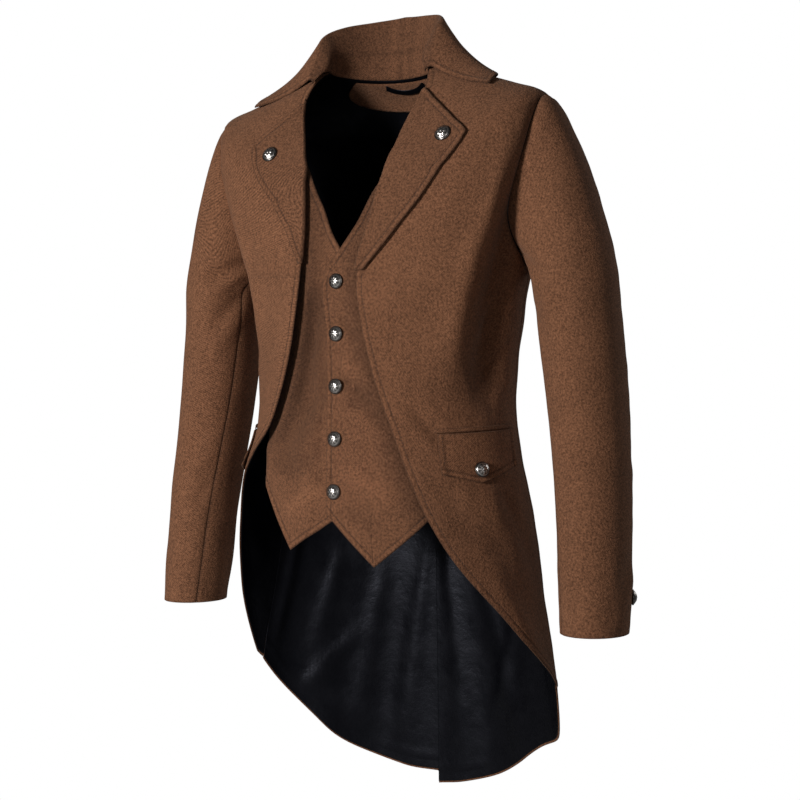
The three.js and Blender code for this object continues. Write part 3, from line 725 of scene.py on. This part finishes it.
def satin(name):
    """Black lining satin: almost black, with broad soft bluish lights and a very fine thread."""
    material, nodes, links, shader = node_material(name)
    slow = noise(nodes, links, 34, 5, 0.6)
    links.new(ranged(nodes, links, slow, 0.3, 0.7, 0.3, 0.5), shader.inputs["Roughness"])
    fine = bumped(nodes, links, noise(nodes, links, 900, 2), 0.25, 0.0003)
    links.new(bumped(nodes, links, slow, 0.35, 0.004, fine), shader.inputs["Normal"])
    set_inputs(shader, Base_Color=(0.0016, 0.0016, 0.0024, 1), Specular_IOR_Level=0.17,
               Specular_Tint=(0.82, 0.84, 1.0, 1))
    return material


def thread(name, colour):
    """Sewing thread, plain and matt with a slight gloss."""
    material, _, _, shader = node_material(name)
    set_inputs(shader, Base_Color=(*colour, 1), Roughness=0.7)
    return material


def old_silver(name):
    """Antique silver: bright on the raised work and dark with age in the hollows, by the height that a button
    carries as an attribute."""
    material, nodes, links, shader = node_material(name)
    worn = blended(nodes, links, 0.22, carried(nodes, "relief"), noise(nodes, links, 700, 4))
    tone = colours(nodes, links, worn, (0.035, 0.028, 0.024), 0.3, (0.66, 0.62, 0.58), 0.62)
    links.new(tone, shader.inputs["Base Color"])
    set_inputs(shader, Metallic=1.0, Roughness=0.3)
    return material


brown = twill_cloth("brown_twill", light=(0.265, 0.114, 0.056), dark=(0.075, 0.030, 0.0135))
black = satin("black_lining")
brown_thread = thread("brown_thread", (0.045, 0.02, 0.011))
silver = old_silver("antique_silver")


# ---------- panels of the body ----------
ARMHOLE_BOUNDS = [NECK, -100, SHOULDER, -230, -248, -254, -255.5, UNDERARM, -259, -300]
ARMHOLE_STEPS = [8, 6, 4, 3, 3, 10]
SEAM_ANGLE = 0.05
MIDDLE_GAP = 0.12
STRETCH_TOP = -535  # where a back's columns start to be stretched to its hem
VEST_STRETCH_TOP = -450.0


def rows_between(levels, steps):
    """Levels run together from a list of bounds, with that many steps in each space."""
    parts = [np.linspace(a, b, n, endpoint=False) for a, b, n in zip(levels[:-1], levels[1:], steps)]
    return np.concatenate([*parts, [levels[-1]]])


def row_angles(level, start, end, count, first, last):
    """Angles across each row between two edges, with steps at true distances from them. An edge that runs
    aslant takes longer steps along the row, so that a line of stitches stays level with it."""
    samples = mix(start, end, np.linspace(0, 1, 13)[:, None])
    width = np.abs(lengths(form_point(samples, level[None]), 0)[-1])
    edges = [form_point(start, level), form_point(end, level)]
    across = [unit(form_point(start + 0.5, level) - edges[0]), unit(edges[1] - form_point(end - 0.5, level))]
    aslant = []
    for edge, row in zip(edges, across):
        sine = np.linalg.norm(np.cross(unit(np.gradient(edge, axis=0)), row), axis=-1)
        aslant.append(1 / np.clip(sine, 0.45, 1))
    width = width[:, None]
    squeeze = np.minimum(1, 0.42 * width / (max(first[-1], last[-1]) * np.maximum(*aslant)[:, None]))
    near = np.asarray(first, float) * aslant[0][:, None] * squeeze
    far = width - np.asarray(last[::-1], float) * aslant[1][:, None] * squeeze
    t = np.linspace(0, 1, count + 2)[1:-1]
    middle = near[:, -1:] + (far[:, :1] - near[:, -1:]) * t
    share = np.concatenate([near, middle, far], 1) / width
    return start[:, None] + (end - start)[:, None] * share


def front_grid(side, out, reach=0.0):
    """A front from neck to tail corner. Rows are levels, closest where the armhole turns into the side seam,
    and columns run from the roll or cut edge to the outer seam."""
    levels = rows_between(
        [*ARMHOLE_BOUNDS, -420, -560, -700, -726 + reach], [10, 16, 20, *ARMHOLE_STEPS, 26, 30, 34, 10])
    start = follow(side["inner"], levels) + 0.01 + reach / 12
    end = outer_edge(side, levels, -1) - SEAM_ANGLE
    angle = row_angles(levels, start, end, 46, STITCHED, PLAIN)
    level = np.broadcast_to(levels[:, None], angle.shape)
    share = (angle - start[:, None]) / (end - start)[:, None]
    level = level - TAIL_CORNER * share * smooth((-level - 690) / 36)
    return angle, level, on_coat(side, angle, level, out + front_lift(side, angle, level))


def back_grid(side, out, reach=0.0):
    """A back from neck to hem. Below the vent's top each column is stretched to the hem's curve, and the
    right tail goes past the middle and rises over the left one."""
    right = side["sign"] < 0
    levels = rows_between(
        [*ARMHOLE_BOUNDS, -420, -505, STRETCH_TOP], [8, 14, 18, *ARMHOLE_STEPS, 18, 20, 14, 8])
    middle = 180 - MIDDLE_GAP
    end = np.where(right, middle + (VENT_LAP + MIDDLE_GAP) * smooth((VENT_TOP - levels) / 15), middle)
    start = outer_edge(side, levels, 1) + SEAM_ANGLE
    top = row_angles(levels, start, end, 44, PLAIN, STITCHED if right else PLAIN)
    share = (top[-1] - start[-1]) / (end[-1] - start[-1])
    below = spaced(np.array([1.0]), 40, [0.02], np.array(STITCHED) / 320)[0][1:]
    hem_angle = mix(outer_edge(side, -740.0, 1) + SEAM_ANGLE, end[-1], share)
    hem = follow(side["tail_hem"], hem_angle) + reach
    low_level = mix(STRETCH_TOP, hem, below[:, None])
    low_angle = mix(outer_edge(side, low_level, 1) + SEAM_ANGLE, end[-1], share)
    angle = np.concatenate([top, low_angle])
    level = np.concatenate([np.broadcast_to(levels[:, None], top.shape), low_level])
    raised = out + 0 * angle
    if right:
        raised += VENT_RAISE * smooth((angle - 146) / 20) * smooth((-level - 505) / 30)
    return angle, level, on_coat(side, angle, level, raised)


def vest_grid(side):
    """A waistcoat front, and the painted shade in its colour: from the V and the lapped edge to where the
    coat front hides it, down to a pointed hem. The painted shade is darker in its folds, lighter on their
    ridges, and darker still as a painted shadow towards the coat front's edge."""
    hem = np.asarray(side["vest_hem"], float)
    edge_shares = [0.004, 0.012, 0.024, 0.04, 0.052, 0.058, 0.064, 0.07, 0.082]
    share = np.sort(np.concatenate([np.linspace(0, 1, 44), edge_shares, hem[1:-1, 0]]))
    share = share[np.concatenate([[True], np.diff(share) > 1e-4])]
    top = rows_between([-112, -150, -250, VEST_STRETCH_TOP], [12, 30, 44])
    hem_steps = np.array(STITCHED) * 1.25
    low = spaced(np.array([1.0]), 18, [0.03], hem_steps / 90)[0][1:]
    above = np.broadcast_to(top[:, None], (len(top), len(share)))
    level = np.concatenate([above, mix(VEST_STRETCH_TOP, along(hem, share), low[:, None])])
    edge, end = follow(side["vest_edge"], level), follow(side["vest_side"], level)
    angle = mix(edge, end, share)
    coat_edge = follow(side["inner"], level)
    lap = side["vest_out"] * smooth((12 - angle) / 5)
    tuck = UNDER_FRONT * smooth((angle - coat_edge + 3) / 8)
    signed = side["sign"] * angle
    shown = 1 - smooth((angle - coat_edge + 6) / 6)
    held = smooth((-level - 250) / 40) * smooth(np.abs(angle - edge) / 6)
    wrinkle = fold_sum(VEST_FOLDS, signed, level, 2.2) * shown * held
    under = np.minimum(coat_drape(side, angle, level), 0) * (1 - shown)
    out = lap - tuck - CLOTH / 2 + wrinkle + under
    # Painted shade: a little darker all over, darker in the wrinkles' troughs and lighter on their ridges,
    # and a painted shadow darkening towards the coat front's edge.
    uncovered = smooth((coat_edge - angle) / 13)
    tone = np.clip(0.94 + 0.1 * wrinkle, 0.68, 1.16) * mix(0.6, 0.94, uncovered)
    return form_point(signed, level) + form_normal(signed, level) * out[..., None], tone


def lapel_grid(side):
    """A lapel: it starts at the front's edge, rolls round it in a half circle and lies out to its edge."""
    table = np.asarray(side["lapel"], float)
    tip = table[LAPEL_TIP, 0]
    levels = np.sort(np.concatenate([
        rows_between([table[0, 0], tip, table[-1, 0]], [26, 50]),
        tip + np.array([0.4, 1.0, 2.0, -0.4, -1.0, -2.0]),
        table[0, 0] - np.array([0.3, 0.8, 1.5])]))[::-1]
    inner = follow(side["inner"], levels)
    outer = np.interp(-levels, -table[:, 0], table[:, 1])
    angle = row_angles(levels, inner, outer, 16, PLAIN, STITCHED)
    level = np.broadcast_to(levels[:, None], angle.shape)
    edge_out = 1.4 * smooth((angle - inner[:, None]) / np.maximum(outer - inner, 4)[:, None]) ** 2
    out = SHELL_OUT + ON_TOP + CLOTH / 2 + edge_out + front_lift(side, angle, level)
    flat = on_coat(side, angle, level, out)
    base = on_coat(side, inner, levels, SHELL_IN + CLOTH / 2 + front_lift(side, inner, levels))
    first = flat[:, 0]
    radius = np.linalg.norm(first - base, axis=-1)[:, None, None] / 2
    up = unit(first - base)[:, None]
    away = unit(first - flat[:, 3])[:, None]
    turn = np.linspace(-90, 84, 12)
    c, s = np.cos(np.radians(turn))[None, :, None], np.sin(np.radians(turn))[None, :, None]
    rolled = (base + first)[:, None] / 2 + up * radius * s + away * (radius * 0.8 + 0.4) * c
    return np.concatenate([rolled, flat], 1)


FLAP_TOP = -436
FLAP_RISE = 5
WELT_FOOT = -434.8
WELT_HEIGHT = 5
WELT = 1.4


def welt_grid(side):
    """The welt above a pocket flap: a strip a little longer than the flap, rising with it to the back."""
    share = np.linspace(0, 1, 40)
    down = np.linspace(0, 1, 9)[:, None]
    level = WELT_FOOT + FLAP_RISE * share + WELT_HEIGHT * (1 - down)
    angle = mix(side["flap"][0] - 1.2, side["flap"][1] + 0.8, share) + 0 * down
    out = SHELL_OUT + ON_TOP + WELT / 2 + front_lift(side, angle, level)
    return on_coat(side, angle, level, out)


def flap_grid(side):
    """A pocket flap with a blunt point at its button, pulled in there and curled out at its corners."""
    share = np.sort(np.concatenate([np.linspace(0, 1, 40), [0.003, 0.008, 0.015, 0.985, 0.992, 0.997, 0.4]]))
    down = spaced(np.array([50.0]), 16, PLAIN, STITCHED)[0][:, None] / 50
    top = FLAP_TOP + FLAP_RISE * share
    bottom = along([[0, -482], [0.4, -492], [1, -474]], share)
    level = mix(top, bottom, down)
    angle = mix(side["flap"][0], side["flap"][1], share) - 3.5 * share * down
    pulled = -1.0 * np.exp(-((share - 0.4) / 0.14) ** 2) * smooth((down - 0.55) / 0.3)
    curl = 1.4 * smooth((share - 0.86) / 0.14) * down + 1.0 * smooth((0.1 - share) / 0.1) * down
    out = SHELL_OUT + ON_TOP + CLOTH / 2 + 1.2 * down + pulled + curl + front_lift(side, angle, level)
    return on_coat(side, angle, level, out)


def inside_grid(half_span, top, depth, out, rows, columns):
    """A strip inside the back neck. Top, depth and distance from the form are functions of turn, -1 to 1."""
    turn = np.linspace(-1, 1, columns)
    down = np.linspace(0, 1, rows)[:, None]
    angle = 180 + half_span * turn + 0 * down
    level = top(turn) - depth(turn) * down
    return form_point(angle, level) + form_normal(angle, level) * (out(turn) + 0 * down)[..., None]


# ---------- sleeves ----------
SLEEVE_TUCK = 0.5
SLEEVE_GAP = 0.1


def sleeve_point(side, turn, v):
    """A point of a sleeve, as on the left: v is 0 at the armhole, 1 below a curved cap and 2 at the hem."""
    turn, v = np.broadcast_arrays(np.asarray(turn, float), np.asarray(v, float))
    c, s = np.cos(np.radians(turn)), np.sin(np.radians(turn))
    top, hem = SLEEVE_RINGS[0, 0], SLEEVE_RINGS[-1, 0]
    z = mix(top, hem, np.clip(v - 1, 0, 1))
    x, y, across, deep = [follow(SLEEVE_RINGS, z, column) for column in (1, 2, 3, 4)]
    arm = np.stack([x + across * c, y - deep * s, z], -1)
    half = np.mod(turn, 360)
    back = half > 180
    oval = np.where(back, 360 - half, half)
    level = armhole_level(oval) - SLEEVE_TUCK * np.cos(np.radians(oval))
    towards = np.where(back, 1, -1)
    angle = armhole_angle(oval, towards) - towards * 0.2 * np.sin(np.radians(oval))
    drape = coat_drape(side, angle, level)
    lifted = (SHELL_IN + CLOTH / 2 + drape)[..., None]
    start = form_point(angle, level) + form_normal(angle, level) * lifted
    over = (1 + c) / 2
    leave = np.stack([8 + 66 * over, -12 * s, -10 - 18 * s * s + 6 * over], -1)
    arrive = np.stack([3 + 10 * over, 0 * s, -25 - 135 * over], -1)
    k = np.clip(v, 0, 1)[..., None]
    cap = (start * (2 * k ** 3 - 3 * k ** 2 + 1) + leave * (k ** 3 - 2 * k ** 2 + k)
           + arm * (3 * k ** 2 - 2 * k ** 3) + arrive * (k ** 3 - k ** 2))
    return np.where(v[..., None] >= 1, arm, cap)


def sleeve_surface(side, turn, v):
    """The sleeve's middle surface with its folds, and the small gathers where its head is eased in."""
    p = sleeve_point(side, turn, v)
    round_it = sleeve_point(side, turn + 0.6, v) - sleeve_point(side, turn - 0.6, v)
    down = sleeve_point(side, turn, v + 0.006) - sleeve_point(side, turn, v - 0.006)
    normal = unit(np.cross(round_it, down))
    outward = np.stack([np.cos(np.radians(turn)), -np.sin(np.radians(turn)), 0.2 + 0 * turn], -1)
    normal = normal * np.sign(np.sum(normal * outward, -1, keepdims=True))
    folds = SLEEVE_FOLDS_LEFT if side["sign"] > 0 else SLEEVE_FOLDS_RIGHT
    wrapped = np.where(turn > 270, turn - 360, turn)
    height = fold_sum(folds, wrapped, p[..., 2], 0.86)
    ease = 0.5 * np.sin(np.radians(turn * 17 + 40 * np.sin(np.radians(turn * 3))))
    height += ease * np.exp(-((v - 0.07) / 0.06) ** 2) * smooth((np.cos(np.radians(turn)) + 0.1) / 0.6)
    height += 1.0 * np.exp(-((v - 0.12) / 0.09) ** 2) * smooth(np.cos(np.radians(turn)) + 0.3)
    height *= smooth(v / 0.06)
    return p + normal * (height - CLOTH / 2)[..., None]


def front_seam(z):
    """Turn of a sleeve's front seam at a height, less half of the gap between the two halves."""
    return follow(SLEEVE_FRONT_SEAM, z) - SLEEVE_GAP


def sleeve_grid(side, from_turn, to_turn, columns):
    """One half of a sleeve between two seams, armhole to hem. The seams' turns are functions of height."""
    hem_steps = np.array([0, 0.3, 0.8, 1.6, 3, 5, 8]) / 400
    v = np.concatenate([
        [0, 0.002, 0.006, 0.012, 0.02], np.linspace(0.03, 1, 46), np.linspace(1.012, 1.975, 72),
        2 - hem_steps[::-1]])[:, None]
    top, hem = SLEEVE_RINGS[0, 0], SLEEVE_RINGS[-1, 0]
    z = np.where(v < 1, mix(0, top, v), mix(top, hem, v - 1))
    seam_steps = np.array([0, 0.004, 0.01, 0.02, 0.035])
    share = np.concatenate([seam_steps, np.linspace(0.055, 0.945, columns), 1 - seam_steps[::-1]])
    turn = mix(from_turn(z), to_turn(z), share)
    middle = sleeve_surface(side, turn, v + 0 * share) * np.array([side["sign"], 1, 1])
    return middle[:, ::-1] if side["sign"] > 0 else middle


# ---------- collar ----------
FOLD = 0.46
FALL_HOLLOW = 4


def collar_point(share, t):
    """The collar's middle surface: up the stand, over a soft roll at the ridge, and down to its edge."""
    end, sign = np.abs(share), np.where(share < 0, -1, 1)
    seam_angle, seam_level, rise, out, free_angle, free_level, foot_lift, foot_inset = [
        follow(COLLAR, end, c)[..., None] for c in range(1, 9)]
    seam = form_point(seam_angle[..., 0], seam_level[..., 0])
    outward = unit(np.stack([seam[..., 0], seam[..., 1] - 4, 0 * seam[..., 0]], -1))
    up = np.array([0, 0, 1.0])
    foot = seam + form_normal(seam_angle[..., 0], seam_level[..., 0]) * foot_lift - outward * foot_inset
    ridge = seam + outward * out + up * rise
    free = form_point(free_angle[..., 0], free_level[..., 0])
    free = free + form_normal(free_angle[..., 0], free_level[..., 0]) * (SHELL_OUT + ON_TOP + 3)
    t = t[..., None]
    k1, k2 = np.clip(t / FOLD, 0, 1), np.clip((t - FOLD) / (1 - FOLD), 0, 1)
    stand = mix(foot, ridge, k1) - outward * (out * 0.55 * np.sin(np.pi * k1))
    fall = mix(ridge, free, k2) - (outward + up) * (FALL_HOLLOW * np.sin(np.pi * k2))
    p = np.where(t < FOLD, stand, fall)
    p[..., 0] *= sign
    return p


def collar_grid():
    """The collar from one front end to the other, and the painted shade in its colour: darker inside, with
    painted shade and light of rumples there, and painted shade along the seam at its centre back and the one
    along the stand. Averaging each profile rounds its ridge."""
    end_steps = np.array([0, 0.0012, 0.003, 0.006, 0.012, 0.018, 0.024, 0.03])
    share = np.concatenate([-1 + end_steps, np.linspace(-0.96, 0.96, 118), 1 - end_steps[::-1]])
    t = np.concatenate([
        [0, 0.003, 0.008], np.linspace(0.02, 0.38, 18), np.linspace(0.4, 0.54, 17),
        np.linspace(0.565, 0.9, 20),
        1 - np.array([0.085, 0.075, 0.066, 0.058, 0.045, 0.03, 0.018, 0.009, 0.003, 0])])
    grid_share, grid_t = np.meshgrid(share, t)
    total = 0
    near_fold = np.exp(-((grid_t - FOLD) / 0.06) ** 2)
    for shift, weight in ((-1, 0.13), (-0.6, 0.22), (-0.2, 0.15), (0.2, 0.15), (0.6, 0.22), (1, 0.13)):
        moved = np.clip(grid_t + shift * 0.032 * near_fold, 0, 1)
        total = total + weight * collar_point(grid_share, moved)
    # Painted shade: darker on the collar's inside, painted shade and light of rumples there, and painted
    # shade along its two seams.
    outside = smooth((grid_t - FOLD) / 0.06 + 0.5)
    painted_rumples = 1 + 0.1 * np.sin(23 * grid_share + 4 * np.sin(9 * grid_share)) * (1 - outside)
    back_seam = 1 - 0.34 * np.exp(-(grid_share / 0.007) ** 2)
    stand_seam = 1 - 0.32 * np.exp(-((grid_t - 0.2) / 0.012) ** 2)
    return total, mix(0.76, 1.0, outside) * painted_rumples * back_seam * stand_seam


# ---------- buttons ----------
BUTTON_RADIUS = 9
DOME_RINGS = 24


def button(name):
    """An embossed dome in place of its solid: rings of radius r at height 1.5 + 4.2 (1 - (r/8.6)^2.2), a
    turned rim, and a relief of eight petals round a boss with a beaded ring. Its place, lean and size are the
    solid's."""
    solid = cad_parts[name]
    co = np.array([v.co for v in solid.data.vertices], float) * 1000
    centre = co.mean(0)
    flat = np.linalg.svd(co - centre, full_matrices=False)[2][2]
    outward = flat * np.sign(flat @ (centre - np.array([centre[0] * 0.3, 30, centre[2]])))
    across = unit(np.cross(outward, [0, 0, 1.0]))
    upward = np.cross(across, outward)
    reach = (co - centre) @ outward
    scale = np.linalg.norm((co - centre) - np.outer(reach, outward), axis=1).max() / BUTTON_RADIUS
    back = centre + outward * reach.min()
    rim = [7.9, 8.2, 8.5, 8.75, 8.92, 9.0, 8.98, 8.8, 8.2, 7, 0]
    r = np.concatenate([np.linspace(0, 7.6, DOME_RINGS), rim])
    height = 1.5 + 4.2 * (1 - (np.clip(r, 0, 7.9) / 8.6) ** 2.2)
    height[DOME_RINGS:] = [2.25, 2.2, 2.1, 1.9, 1.6, 1.3, 0.9, 0.4, 0.1, 0, 0]
    turn = np.linspace(0, 2 * np.pi, 64, endpoint=False)
    front = (np.arange(len(r)) < DOME_RINGS).astype(float)[:, None]
    petal = np.cos(turn * 4)[None] ** 2 * np.exp(-((r[:, None] - 4.1) / 1.5) ** 2)
    vein = -0.5 * np.exp(-(np.sin(turn * 4)[None] / 0.25) ** 2) * np.exp(-((r[:, None] - 4.2) / 1.3) ** 2)
    boss = np.exp(-(r[:, None] / 1.35) ** 2)
    beads = (0.6 + 0.4 * np.cos(turn * 26)[None]) * np.exp(-((r[:, None] - 6.9) / 0.55) ** 2)
    relief = (petal + vein + boss + beads * 0.8) * front
    lift = height[:, None] + 0.55 * relief
    side_x, side_y = np.cos(turn)[None] * r[:, None], np.sin(turn)[None] * r[:, None]
    points = back + across * (side_x * scale)[..., None] + upward * (side_y * scale)[..., None]
    points = points + outward * (lift * scale)[..., None]
    columns = len(turn)
    at = np.arange(len(r) * columns).reshape(len(r), columns)
    after = np.roll(at, -1, 1)
    faces = np.stack([at[1:-2], at[2:-1], after[2:-1], after[1:-2]], -1).reshape(-1, 4)
    first, foot = [[np.roll(at[row], -k)[::2] for k in range(3)] for row in (1, -2)]
    cap = np.stack([*first, np.full(columns // 2, 0)], -1)
    base = np.stack([*foot[::-1], np.full(columns // 2, at[-1, -1])], -1)
    faces = np.concatenate([faces, cap, base])
    used = np.unique(faces)
    number = np.full(len(r) * columns, -1)
    number[used] = np.arange(len(used))
    made = make_object(name, points.reshape(-1, 3)[used], number[faces], silver)
    attribute = made.data.attributes.new("relief", "FLOAT", "POINT")
    raised = np.clip(0.3 + 0.75 * relief.reshape(-1)[used], 0, 1)
    attribute.data.foreach_set("value", raised.astype(np.float32))
    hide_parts(name)


def sleeve_halves(side):
    """The two halves of a sleeve: the top half in front of the back seam, the under half behind the front."""
    back_seam = SLEEVE_BACK_SEAM + SLEEVE_GAP
    top = sleeve_grid(side, lambda z: back_seam + 0 * z, front_seam, 64)
    last = 360 + back_seam - 2 * SLEEVE_GAP
    under = sleeve_grid(side, lambda z: front_seam(z) + 2 * SLEEVE_GAP, lambda z: last + 0 * z, 48)
    seed = 21 + side["sign"]
    return [Cloth(middle, CLOTH, dips=["start", "end"], crumple=0.9, seed=seed) for middle in (top, under)]


def hang_folds(cloth, side, angle, level):
    """Sinks a back lining's own folds into it, and the line of its hem's stitching."""
    folds = fold_sum(LINING_FOLDS, signed_angle(side, angle), level, 2.6)
    quiet = smooth(np.minimum.reduce(list(cloth.to.values())) / 16)
    for wall in (cloth.outer, cloth.inner):
        wall += cloth.normal * (np.minimum(folds, 0) * quiet)[..., None]
    band = -0.8 * np.exp(-((cloth.to["bottom"] - 14) / 1.2) ** 2) * smooth((-level - 560) / 60)
    cloth.inner += cloth.normal * band[..., None]


for side in (LEFT, RIGHT):
    word, sign = side["word"], side["sign"]
    turned = (slice(None), slice(None, None, sign))
    start, end = ("start", "end") if sign > 0 else ("end", "start")
    front_name, back_name = "front_" + word, "back_" + word

    angle, level, middle = front_grid(side, SHELL_IN + CLOTH / 2)
    front = Cloth(middle[turned], CLOTH, groove=[start], dips=[end], crumple=0.8, seed=3 + sign,
                  tone=fold_painted_shade(side, angle, level)[turned])
    front_piece = front.build(front_name, brown)
    front_line = line_at(front, start, span=(0.34, 0.99))
    front_threads = stitches("stitching_front_" + word, [front_line], brown_thread)

    middle = front_grid(side, UNDER_COAT + LINING / 2, reach=3.0)[2]
    lining_front = Cloth(middle[turned], LINING, edge=0.6, crumple=0.3, seed=9)
    lining_front_piece = lining_front.build("lining_front_" + word, black)

    angle, level, middle = back_grid(side, SHELL_IN + CLOTH / 2)
    back = Cloth(middle[turned], CLOTH, dips=[start, end] if sign > 0 else [end], crumple=0.8, seed=5 + sign,
                 tone=fold_painted_shade(side, angle, level)[turned])
    back_piece = back.build(back_name, brown)

    angle, level, middle = back_grid(side, UNDER_COAT + LINING / 2, reach=2.5)
    lining_back = Cloth(middle[turned], LINING, edge=0.6, crumple=0.0, seed=10)
    hang_folds(lining_back, side, angle[turned], level[turned])
    lining_back_piece = lining_back.build("lining_back_" + word, black)

    middle, tone = vest_grid(side)
    vest = Cloth(middle[turned], CLOTH, groove=[start, "bottom"], crumple=0.45, seed=7 + sign,
                 tone=tone[turned])
    vest_piece = vest.build("vest_" + word, brown)
    vest_lines = [line_at(vest, start, span=(0.02, 0.93)), line_at(vest, "bottom", span=(0.04, 0.98))]
    vest_threads = stitches("stitching_vest_" + word, vest_lines, brown_thread)

    # The lapel's tone of 0.86 is an even painted shade on the coat's cloth.
    lapel = Cloth(lapel_grid(side)[turned], CLOTH, groove=[end, "top"], crumple=0.3, seed=13 + sign,
                  tone=0.86)
    lapel_piece = lapel.build("lapel_" + word, brown)
    lapel_line = line_at(lapel, end, span=(0.04, 0.97))
    lapel_threads = stitches("stitching_lapel_" + word, [lapel_line], brown_thread)

    flap = Cloth(flap_grid(side)[turned], CLOTH, groove=[start, end, "bottom"], crumple=0.3, seed=17 + sign)
    flap_piece = flap.build("flap_" + word, brown)
    flap_spans = (("bottom", (0.1, 0.9)), (start, (0.1, 0.84)), (end, (0.1, 0.84)))
    flap_lines = [line_at(flap, edge, distance=5, span=span) for edge, span in flap_spans]
    flap_threads = stitches("stitching_flap_" + word, flap_lines, brown_thread)
    welt = Cloth(welt_grid(side)[turned], WELT, edge=0.7, crumple=0.1)
    welt_piece = welt.build("pocket_welt_" + word, brown)

    top_half, under_half = sleeve_halves(side)
    top_piece = top_half.build("sleeve_top_" + word, brown)
    under_piece = under_half.build("sleeve_under_" + word, brown)

collar_middle, collar_painted_shade = collar_grid()
collar = Cloth(collar_middle[:, ::-1], CLOTH, groove=["bottom", "start", "end"], crumple=0.5, seed=31,
               tone=collar_painted_shade[:, ::-1])
collar_piece = collar.build("collar", brown)
collar_spans = (("bottom", (0.04, 0.96)), ("start", (0.55, 0.9)), ("end", (0.55, 0.9)))
collar_lines = [line_at(collar, edge, span=span) for edge, span in collar_spans]
collar_threads = stitches("stitching_collar", collar_lines, brown_thread)


def facing_depth(turn):
    """A half moon: 4 deep at its ends and 31 in the middle."""
    return 4 + 27 * np.sqrt(np.maximum(0, 1 - turn * turn))


def loop_sag(turn):
    """A parabola, 1 in the middle and 0 at the two ends that are sewn down."""
    return 1 - turn * turn


facing = Cloth(
    inside_grid(50, lambda turn: -80 + 0 * turn, facing_depth, lambda turn: -ON_TOP - LINING / 2 + 0 * turn,
                18, 70),
    LINING, edge=0.6, crumple=0.2)
facing_piece = facing.build("back_neck_facing", brown)
loop_out = -ON_TOP - LINING - 2 * SEAM - 0.6
loop = Cloth(
    inside_grid(19, lambda turn: -81 - 5 * loop_sag(turn), lambda turn: 5 + 0 * turn,
                lambda turn: loop_out - 1.2 * loop_sag(turn), 9, 40),
    1.2, edge=0.6, crumple=0.0)
loop_piece = loop.build("hanger_loop", black)

for name in sorted(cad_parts):
    if "button" in name:
        button(name)

# ---------- room, lights and camera ----------
def seen_and_lit(nodes, links, lit, seen, output):
    """Shows one shader to the camera and lets another give the light."""
    ray, both = nodes.new("ShaderNodeLightPath"), nodes.new("ShaderNodeMixShader")
    links.new(ray.outputs["Is Camera Ray"], both.inputs[0])
    links.new(lit.outputs[0], both.inputs[1])
    links.new(seen.outputs[0], both.inputs[2])
    links.new(both.outputs[0], nodes[output].inputs["Surface"])


white, nodes, links, shader = node_material("pale_floor")
set_inputs(shader, Base_Color=(0.4, 0.4, 0.4, 1), Roughness=1.0)
glow = nodes.new("ShaderNodeEmission")
set_inputs(glow, Strength=1.0)
seen_and_lit(nodes, links, shader, glow, "Material Output")
bpy.ops.mesh.primitive_circle_add(vertices=96, radius=14, fill_type="NGON", location=(0, 0, -1.45))
floor = bpy.context.object
floor.name = "floor"
floor.data.materials.append(white)

world = bpy.data.worlds.new("studio")
bpy.context.scene.world = world
world.use_nodes = True
nodes, links = world.node_tree.nodes, world.node_tree.links
seen, lit = nodes["Background"], nodes.new("ShaderNodeBackground")
set_inputs(seen, Color=(1, 1, 1, 1), Strength=1.0)
set_inputs(lit, Color=(0.97, 0.98, 1, 1), Strength=0.06)
seen_and_lit(nodes, links, lit, seen, "World Output")


COAT_MIDDLE = -0.42


def soft_light(name, azimuth, height, distance, size, watts):
    """A square soft box that faces the middle of the coat, azimuth degrees round from the wearer's front."""
    light = bpy.data.lights.new(name, "AREA")
    light.size = size
    light.energy = watts
    lamp = bpy.data.objects.new(name, light)
    a = np.radians(azimuth)
    lamp.location = (distance * np.sin(a), -distance * np.cos(a), height)
    bpy.context.scene.collection.objects.link(lamp)
    away = np.array(lamp.location) - np.array([0, 0, COAT_MIDDLE])
    flat = np.hypot(away[0], away[1])
    lamp.rotation_euler = (np.arctan2(flat, away[2]), 0, np.arctan2(away[0], -away[1]))


soft_light("key", -15, -0.02, 2.6, 0.5, 66)
soft_light("fill", 50, 0.0, 3.2, 1.2, 7)
soft_light("rim_left", 150, 0.6, 3.0, 1.2, 12)
soft_light("rim_right", -140, 0.6, 3.0, 1.2, 12)

CAMERA_AZIMUTH = np.radians(31)
CAMERA_DISTANCE = 1.95
CAMERA_HEIGHT = -0.374
camera_data = bpy.data.cameras.new("camera")
camera_data.lens = 72.9
camera_data.sensor_width = 36
camera_data.shift_x = 0.0275
camera_data.shift_y = -0.025
camera = bpy.data.objects.new("camera", camera_data)
aside, ahead = np.sin(CAMERA_AZIMUTH), np.cos(CAMERA_AZIMUTH)
camera.location = (CAMERA_DISTANCE * aside, -CAMERA_DISTANCE * ahead, CAMERA_HEIGHT)
camera.rotation_euler = (np.pi / 2, 0, CAMERA_AZIMUTH)
bpy.context.scene.collection.objects.link(camera)
bpy.context.scene.camera = camera
bpy.context.scene.view_settings.view_transform = "Standard"
